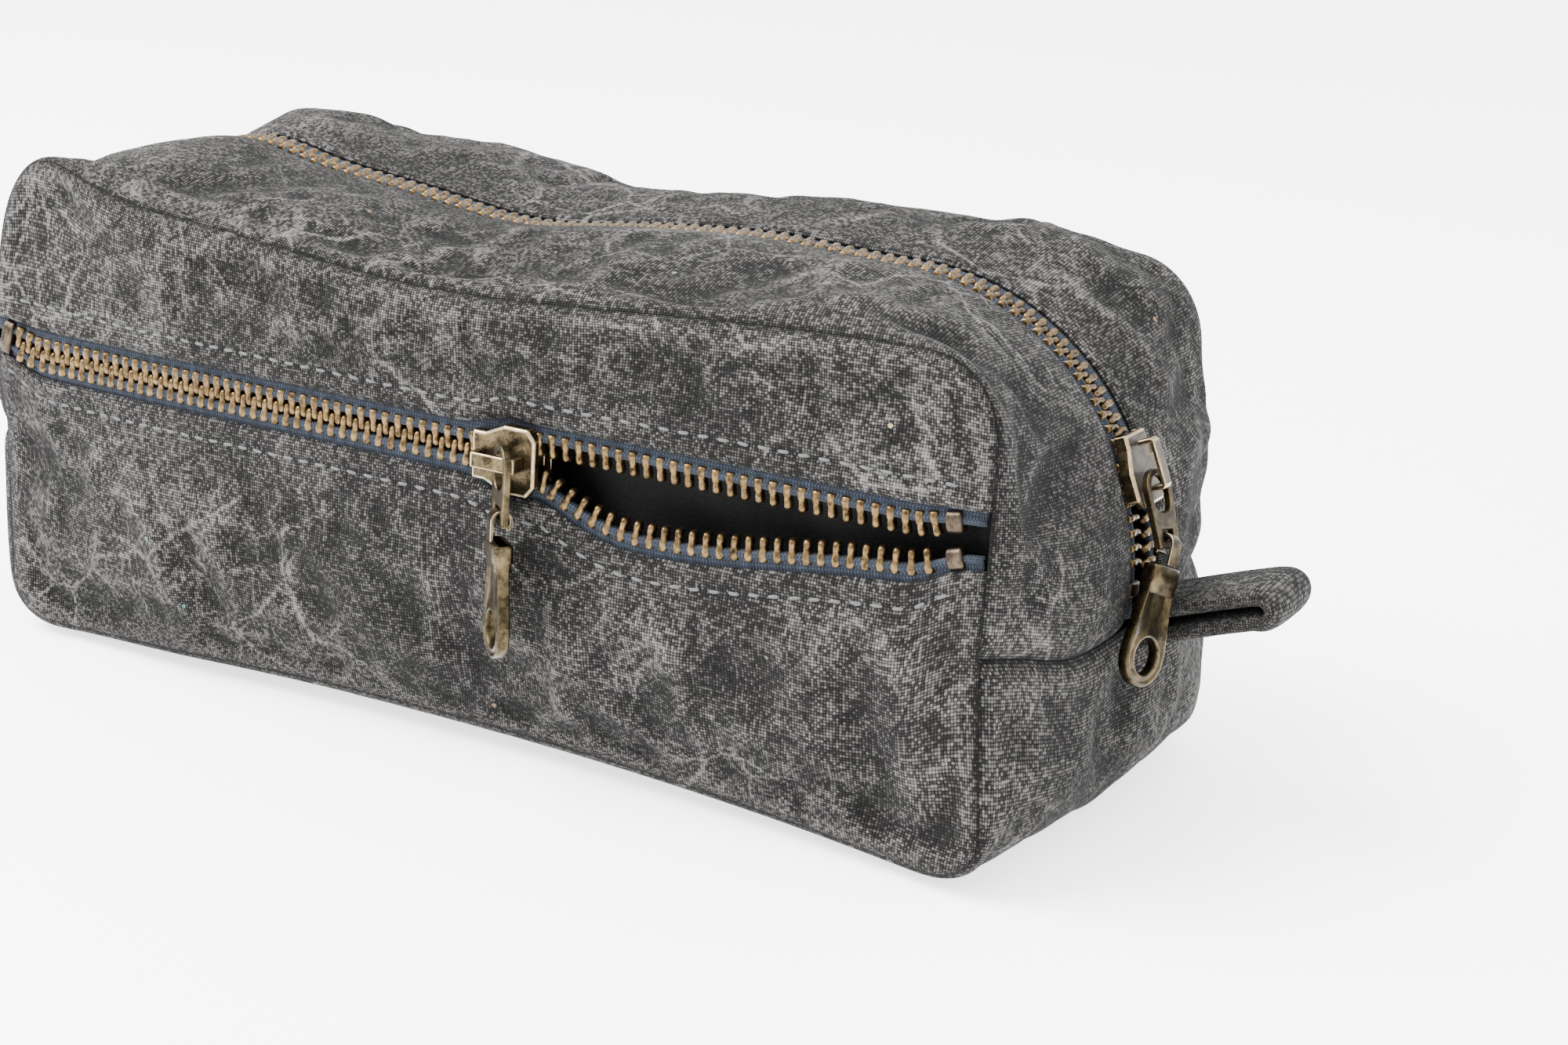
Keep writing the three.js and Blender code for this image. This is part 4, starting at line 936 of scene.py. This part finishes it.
# each row's first tooth and how many follow; the front or lower row stands half a pitch further on
pitch = tooth["pitch"]
pocketUpperTeeth = -94.5 + pitch * np.arange(76)
pocketLowerTeeth = -94.5 + pitch / 2 + pitch * np.arange(75)
mainBackTeeth = 4.5 - mainHalf + pitch * np.arange(109)
mainFrontTeeth = 4.5 - mainHalf + pitch / 2 + pitch * np.arange(108)
toothRow("pocketTeethUpper", "pocket_teeth_upper", pocketAt, pocketUpperTeeth, parting, 1)
toothRow("pocketTeethLower", "pocket_teeth_lower", pocketAt, pocketLowerTeeth, mouthDrop, -1)
toothRow("mainTeethBack", "main_teeth_back", mainAt, mainBackTeeth, mainParting, 1)
toothRow("mainTeethFront", "main_teeth_front", mainAt, mainFrontTeeth, mainParting, -1)

pocketRun = np.linspace(-101.5, 101.5, 203)
mainRun = np.linspace(-mainHalf, mainHalf, 240)
tape("pocketTapeUpper", "pocket_tape_upper", pocketAt, pocketRun, parting, 1)
tape("pocketTapeLower", "pocket_tape_lower", pocketAt, pocketRun, mouthDrop, -1)
tape("mainTapeBack", "main_tape_back", mainAt, mainRun, mainParting, 1)
tape("mainTapeFront", "main_tape_front", mainAt, mainRun, mainParting, -1)

oneRow, bothRows = (-0.35, 3.1), (-3.05, 3.05)  # how far a stop reaches across the zip
pocketTop, mainTop = 96.25, 277.75 - mainHalf
stopPiece("pocketTopStopUpper", "pocket_top_stop_upper", pocketAt, pocketTop, parting, 1, oneRow, 1.3)
stopPiece("pocketTopStopLower", "pocket_top_stop_lower", pocketAt, pocketTop, parting, -1, oneRow, 1.3)
stopPiece("pocketBottomStop", "pocket_bottom_stop", pocketAt, -96.9, closed, 1, bothRows, 1.1)
stopPiece("mainTopStopBack", "main_top_stop_back", mainAt, mainTop, mainParting, 1, oneRow, 1.2)
stopPiece("mainTopStopFront", "main_top_stop_front", mainAt, mainTop, mainParting, -1, oneRow, 1.2)
stopPiece("mainBottomStop", "main_bottom_stop", mainAt, 2.1 - mainHalf, closed, 1, bothRows, 1.1)
print("zips made")


def stitches(name, edge, sign):
    # short threads on the panel in a row beside the fold, each rising at its middle and sunk at its ends
    rowEnd = 99
    count = int(2 * rowEnd / stitchRow["spacing"])
    x = -rowEnd + stitchRow["spacing"] * (np.arange(count) + 0.5)
    along = np.linspace(-1, 1, 7)
    radius = stitchRow["radius"] * np.array([0.45, 0.85, 1, 1, 1, 0.85, 0.45])
    y, z = roundedRing(radius * 1.15, radius, 6, 2.0)
    rise = (stitchRow["radius"] * 0.55 - 0.75 * along ** 4) - stitchRow["sink"]
    reach = np.repeat(along[:, None] * stitchRow["length"] / 2, 6, 1)
    shape = np.stack([reach, y, z + rise[:, None]], -1).reshape(-1, 3)

    def spot(q):
        # the stitch line's point at q along the panel
        z = edge(q) + sign * stitchRow["fromFold"]
        return settle(np.stack([q, np.full_like(q, -bag["halfWidth"] + stitchRow["groove"]), z], -1))

    origins = spot(x)
    run = unit(spot(x + 0.5) - spot(x - 0.5))
    up = np.broadcast_to(np.array([0.0, -1.0, 0.0]), run.shape)
    up = unit(up - run * np.sum(up * run, -1, keepdims=True))
    slant = 0.10 * np.sin(x * 12.9)[:, None]
    run = unit(run + slant * np.cross(up, run))
    axes = np.stack([run, np.cross(up, run), up], 1)
    placed, faces = copiesOf(shape, barFaces(7, 6), origins, axes)
    piece = recalculated(makeObject(name, placed, faces, greyThread, "bag"))
    return piece


stitches("stitchesUpper", mouthHigh, 1)
stitches("stitchesLower", mouthLow, -1)


# the pocket lining's section, as y and z: up from the upper tape, over, down the rear wall and back up
pouchSection = [[-46.3, 66.0], [-44.0, 67.6], [-41.0, 66.0], [-39.9, 56.0], [-39.9, 30.0], [-40.6, 12.0],
                [-42.5, 10.5], [-43.6, 14.0], [-43.8, 28.0], [-44.3, 38.0], [-46.0, 42.0]]
liningThickness = 0.35


def pouch():
    # the pocket's lining: from the upper tape back over the pocket's rear wall, down and forward again
    # to the lower tape, pinched shut at both ends and softly folded by sine waves
    path = smoothPath(pouchSection, 56)
    pouchEnd = 100.5
    x = np.linspace(-pouchEnd, pouchEnd, 110)
    x2 = np.repeat(x[:, None], len(path), 1)
    y = np.repeat(path[None, :, 0], len(x), 0)
    z = np.repeat(path[None, :, 1], len(x), 0)
    near = smoothstep(np.abs(x2), 92, pouchEnd)
    y = y * (1 - near) + (-43.3) * near
    back = smoothstep(y, -44, -41)
    folds = 0.9 * np.sin(x2 * 0.16 + 1.3 * np.sin(z * 0.09)) + 0.6 * np.sin(x2 * 0.31 + z * 0.22 + 2)
    y = y + back * folds * (1 - near)
    points = settle(np.stack([x2, y, z], -1))
    run = np.concatenate([[0], np.cumsum(np.linalg.norm(np.diff(path, axis=0), axis=1))])
    weave = np.stack([x2, np.repeat(run[None, :], len(x), 0)], -1)
    piece = makeObject("pocketLining", points, gridFaces(len(x), len(path)), blackLining, "bag", weave=weave)
    addModifier(piece, "SOLIDIFY", thickness=liningThickness * mm, offset=0.0)
    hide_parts("pocket_lining")
    return piece


def mainLining():
    # the main lining: the bag's outline drawn in by a few millimetres, open along the zip, with a
    # straight wall on each side between the top's and the base's outlines
    deep = 4.2
    ts = np.linspace(-1, 1, 120)
    grids = []
    for zipTable, seamTable, ys in (
            (topZipTable, topSeamTable, [-36, -24, -13, -6.5]),
            (topZipTable, topSeamTable, [6.5, 13, 24, 36, 44.5]),
            (baseZipTable, baseSeamTable, [-36, -24, -12, 12, 24, 36, 44.5])):
        t, y = np.meshgrid(ts, np.array(ys, float), indexing="ij")
        flat = gussetPoint(t, y, zipTable, seamTable)
        points = settle(flat - deep * outwardNormals(flat))
        flip = np.sum(gridNormals(points) * (points - np.array([0, 0, bag["seamTopZ"] / 2]))) < 0
        grids.append((points, np.stack([t * 135, y], -1), flip))
    share = np.linspace(0, 1, 14)[None, :, None]
    front, back, base = (grid[0] for grid in grids)
    for top, low, sign in ((front[:, 0], base[:, 0], -1), (back[:, -1], base[:, -1], 1)):
        wall = top[:, None] * (1 - share) + low[:, None] * share
        flip = np.sum(gridNormals(wall)[..., 1]) * sign < 0
        grids.append((wall, np.stack([wall[..., 0], wall[..., 2]], -1), flip))
    faces, first = [], 0
    for points, weave, flip in grids:
        faces += gridFaces(*points.shape[:2], flip=flip, first=first).tolist()
        first += points.shape[0] * points.shape[1]
    allPoints = np.concatenate([points.reshape(-1, 3) for points, weave, flip in grids])
    allWeave = np.concatenate([weave.reshape(-1, 2) for points, weave, flip in grids])
    piece = makeObject("mainLining", allPoints, faces, blackLining, "bag", weave=allWeave)
    addModifier(piece, "SOLIDIFY", thickness=liningThickness * mm, offset=-1.0)
    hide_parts("main_lining")
    return piece


pouch()
mainLining()
print("linings made")


# a folded band: its length, width, each layer's thickness, the gap between them, and how it stands out
tab = {"length": 23.0, "wide": 20.0, "layer": 3.7, "gap": 0.6, "rise": 19.0, "middleY": 8.8}


def tabLoop(name, node, side):
    # a folded band: a soft rounded section carried out, round the fold and back again
    reach = (tab["layer"] + tab["gap"]) / 2
    out = tab["length"] - reach - tab["layer"] / 2
    turn = np.linspace(np.pi / 2, -np.pi / 2, 14)
    xs = np.linspace(-3, out, 22)[:-1]
    bow = 0.5 * np.sin(xs / 26 * np.pi)
    rings, around = 64, 28
    path = np.concatenate([
        np.stack([xs, reach + bow * 0.4], 1),
        np.stack([out + reach * np.cos(turn), reach * np.sin(turn)], 1),
        np.stack([xs, bow - reach], 1)[::-1]])
    path = evenPath(path, rings)
    line = np.stack([path[:, 0], 0 * path[:, 0], path[:, 1]], 1)
    pinch = 1 - 0.05 * bump(line[:, 0], 24, 8)
    across = np.array([0.0, 1.0, 0.0])
    ring = barAlong(line, across, tab["wide"] / 2 * pinch, tab["layer"] / 2, around, 3.2)
    rise = math.radians(tab["rise"])
    turnIn = np.array([[math.cos(rise), 0, math.sin(rise)], [0, 1, 0], [-math.sin(rise), 0, math.cos(rise)]])
    points = ring.reshape(-1, 3) @ turnIn
    points = points * np.array([side, side, 1.0])
    points += np.array([side * (bag["zipEndX"] + 1.0), side * tab["middleY"], bag["tabSeamZ"]])
    run = np.linspace(0, 56, rings)
    turnRound = np.linspace(0, 2 * tab["wide"] + 4, around)
    weave = np.stack(np.meshgrid(run, turnRound, indexing="ij"), -1)
    piece = makeObject(name, points, barFaces(rings, around), canvasTop, "bag", weave=weave,
                       creaseWearAndSeamShade=np.zeros(len(points)))
    recalculated(piece)
    addModifier(piece, "SUBSURF", levels=1, render_levels=1)
    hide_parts(node)
    return piece


tabLoop("tabLoopRight", "tab_loop_right", 1)
tabLoop("tabLoopLeft", "tab_loop_left", -1)
print("tab loops made")


def polishedCopy(name, node, body, width):
    # the frame's own shape, merged, its flat faces joined and its edges rounded; the rounded edges
    # take the rubbed finish
    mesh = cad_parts[node].data.copy()
    mesh.name = name
    work = bmesh.new()
    work.from_mesh(mesh)
    bmesh.ops.remove_doubles(work, verts=work.verts, dist=2e-6)
    bmesh.ops.dissolve_limit(work, angle_limit=math.radians(2), verts=work.verts, edges=work.edges)
    work.to_mesh(mesh)
    work.free()
    mesh.materials.clear()
    mesh.materials.append(pullBrass)
    mesh.materials.append(rubbedEdge)
    mesh.polygons.foreach_set("use_smooth", np.zeros(len(mesh.polygons), bool))
    piece = bpy.data.objects.new(name, mesh)
    bpy.context.scene.collection.objects.link(piece)
    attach(piece, body)
    addModifier(piece, "BEVEL", width=width * mm, segments=3, limit_method="ANGLE",
                angle_limit=math.radians(38), harden_normals=False, material=1)
    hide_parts(node)
    return piece


# a pull's plate, from its hook down: the ring with its hole and rim, and the block at its head
plate = {"long": 19.5, "ring": 4.9, "hole": 3.0, "top": -3.5, "face": 0.74, "rim": 0.95,
         "blockLong": 4.6, "blockWide": 3.35, "blockThick": 1.7}


def turned(degrees):
    # cosine and sine of an angle in degrees
    return math.cos(math.radians(degrees)), math.sin(math.radians(degrees))


hung = {  # where each plate hangs: the hook's middle, then its across and upward directions
    "pocket": ((20.0, -53.15, 46.05), (*turned(-40), 0.0), (0.0, 0.0, 1.0)),
    "main": ((113.361, -2.688, 48.929), (*turned(74), 0.0), (0.0, *turned(22)[::-1])),
}


def plateRing():
    # a ring on a tapering neck, walked round its hole by angle: the outer edge is the ring's circle or
    # the neck's straight sides, whichever is further, and a rim stands round the hole and the edge
    steps = 160
    turn = np.linspace(-np.pi, np.pi, steps + 1)[:-1]
    s, c = np.abs(np.sin(turn)), np.cos(turn)
    # the neck's two pairs of straight sides, as distance = d / (sin + slope * cos)
    neck = np.maximum(5.0744 / np.maximum(s + 0.1744 * c, 1e-3), 3.784 / np.maximum(s + 0.04 * c, 1e-3))
    upperEnd = plate["long"] - plate["ring"]
    neck = np.minimum(neck, upperEnd / np.maximum(c, 1e-3))
    outer = np.where(c > 0.2, np.maximum(neck, plate["ring"]), plate["ring"])
    face, rim = plate["face"], plate["rim"]
    fromHole = np.array([0, 0, 0.12, 0.50, 0.66])
    holeRise = np.array([-face, face, rim, rim, face])
    fromEdge = np.array([0.78, 0.60, 0.16, 0.0])
    edgeRise = np.array([face, rim, rim, face])
    inner = plate["hole"] + np.broadcast_to(fromHole, (steps, 5))
    edge = outer[:, None] - fromEdge
    radius = np.concatenate([inner[:, 1:], edge, edge[:, ::-1], inner[:, :0:-1]], 1)
    z = np.concatenate([holeRise[1:], edgeRise, -edgeRise[::-1], -holeRise[:0:-1]])
    z = np.broadcast_to(z, radius.shape)
    x = radius * np.sin(turn)[:, None]
    y = plate["top"] - upperEnd + radius * np.cos(turn)[:, None]
    rows, columns = z.shape
    faces = gridFaces(rows + 1, columns, closed=True) % (rows * columns)
    return np.stack([x, y, z], -1).reshape(-1, 3), faces.tolist()


def plateBlock():
    # the square head: eight rounded sections down from the hook, thinned where it meets the neck
    down = np.array([0, 0.12, 0.35, 1.2, 2.9, 3.05, 4.3, plate["blockLong"]])
    wide = plate["blockWide"] * np.array([0.90, 0.95, 0.96, 0.97, 0.99, 0.99, 1.0, 0.98])
    thick = plate["blockThick"] * np.array([0.82, 0.93, 0.98, 1.0, 1.0, 0.84, 0.80, 0.62])
    x, z = roundedRing(wide, thick, 28, 7.0)
    y = np.repeat((plate["top"] - down)[:, None], 28, 1)
    return np.stack([x, y, z], -1).reshape(-1, 3), barFaces(len(down), 28)


def pullPlate(name, prefix):
    # the ring and the block together, hung from their hook: place + x across + y up + z square to both
    ring, ringFaces = plateRing()
    block, blockFaces = plateBlock()
    faces = ringFaces + [[int(v) + len(ring) for v in f] for f in blockFaces]
    place, across, up = (np.array(v) for v in hung[prefix])
    across = unit(across - up * np.dot(across, up))
    points = place + np.concatenate([ring, block]) @ np.stack([across, up, np.cross(across, up)])
    piece = recalculated(makeObject(name, points, faces, pullBrass, prefix + "_plate"))
    piece.data.materials.append(rubbedEdge)
    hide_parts(prefix + "_pull_plate")
    return piece


for prefix in ("pocket", "main"):
    polishedCopy(prefix + "SliderBody", prefix + "_slider_body", prefix + "_slider", 0.28)
    polishedCopy(prefix + "SliderStrap", prefix + "_slider_strap", prefix + "_slider", 0.25)
    polishedCopy(prefix + "SliderSpring", prefix + "_slider_lock_spring", prefix + "_slider", 0.08)
    polishedCopy(prefix + "PullLink", prefix + "_pull_link", prefix + "_link", 0.10)
    polishedCopy(prefix + "PullHook", prefix + "_pull_hook", prefix + "_plate", 0.12)
    pullPlate(prefix + "PullPlate", prefix)
print("sliders and pulls made")


lights = {"world": 4.4, "horizon": 1.9, "key": 62.0, "keySize": 0.8, "rim": 1.5, "floor": 2.0}


def floorMaterial():
    # pale paper lit a little from within, as on a light table
    n = Nodes("paperFloor")
    place = n.add("TexCoord").outputs["Object"]
    tone = n.noise(place, 3, 2.0, 0.5)
    colour = n.ramp(tone, [(0.0, (0.90, 0.90, 0.905)), (1.0, (0.93, 0.93, 0.93))])
    return n.finish(Base_Color=colour, Roughness=0.9, Emission_Color=(1, 1, 1, 1),
                    Emission_Strength=lights["floor"])


reach, under = 6, -0.0002
floorMesh = bpy.data.meshes.new("floor")
floorMesh.from_pydata([(x * reach, y * reach, under) for x, y in ((-1, -1), (1, -1), (1, 1), (-1, 1))], [],
                      [(0, 1, 2, 3)])
floorMesh.materials.append(floorMaterial())
floor = bpy.data.objects.new("floor", floorMesh)
bpy.context.scene.collection.objects.link(floor)

world = bpy.data.worlds.new("studio")
world.use_nodes = True
sky = world.node_tree
upAndDown = sky.nodes.new("ShaderNodeSeparateXYZ")  # brighter overhead than at the horizon
sky.links.new(sky.nodes.new("ShaderNodeTexCoord").outputs["Generated"], upAndDown.inputs[0])
rise = sky.nodes.new("ShaderNodeMapRange")
sky.links.new(upAndDown.outputs[2], rise.inputs[0])
for place, value in ((1, -0.05), (2, 0.75), (3, lights["horizon"]), (4, lights["world"])):
    rise.inputs[place].default_value = value
sky.nodes["Background"].inputs[0].default_value = (0.98, 0.99, 1.0, 1)
sky.links.new(rise.outputs[0], sky.nodes["Background"].inputs[1])
bpy.context.scene.world = world


def placed(across, up, back, place):
    # the matrix with those three directions as its columns and its origin at the place
    return Matrix([[*row, p] for row, p in zip(np.stack([across, up, back], 1), place)] + [[0, 0, 0, 1]])


def areaLight(name, place, power, size):
    # a soft square lamp at the place, looking at the bag's middle
    data = bpy.data.lights.new(name, "AREA")
    data.energy = power
    data.size = size
    lamp = bpy.data.objects.new(name, data)
    back = unit(np.array(place) - np.array([0, 0, 0.05]))
    side = unit(np.cross([0, 0, 1.0], back))
    lamp.matrix_world = placed(side, np.cross(back, side), back, place)
    bpy.context.scene.collection.objects.link(lamp)


areaLight("keyLight", (-0.55, -0.45, 0.95), lights["key"], lights["keySize"])
areaLight("rimLight", (0.6, 0.7, 0.8), lights["rim"], 0.6)

view = {"azimuth": 27.6, "elevation": 16.3, "roll": 3.85, "lens": 60.9, "place": (0.2468, -0.3898, 0.1668)}
a, e, r = (math.radians(view[k]) for k in ("azimuth", "elevation", "roll"))
ahead = np.array([-math.sin(a) * math.cos(e), math.cos(a) * math.cos(e), -math.sin(e)])
level = np.array([math.cos(a), math.sin(a), 0.0])
above = np.cross(level, ahead)
rightward = math.cos(r) * level + math.sin(r) * above
upward = -math.sin(r) * level + math.cos(r) * above
camera = bpy.data.objects.new("camera", bpy.data.cameras.new("camera"))
camera.data.sensor_width = 36.0
camera.data.lens = view["lens"]
camera.data.clip_start = 0.01
camera.matrix_world = placed(rightward, upward, -ahead, view["place"])
bpy.context.scene.collection.objects.link(camera)
bpy.context.scene.camera = camera
print("floor, lights and camera made")

print("scene made")
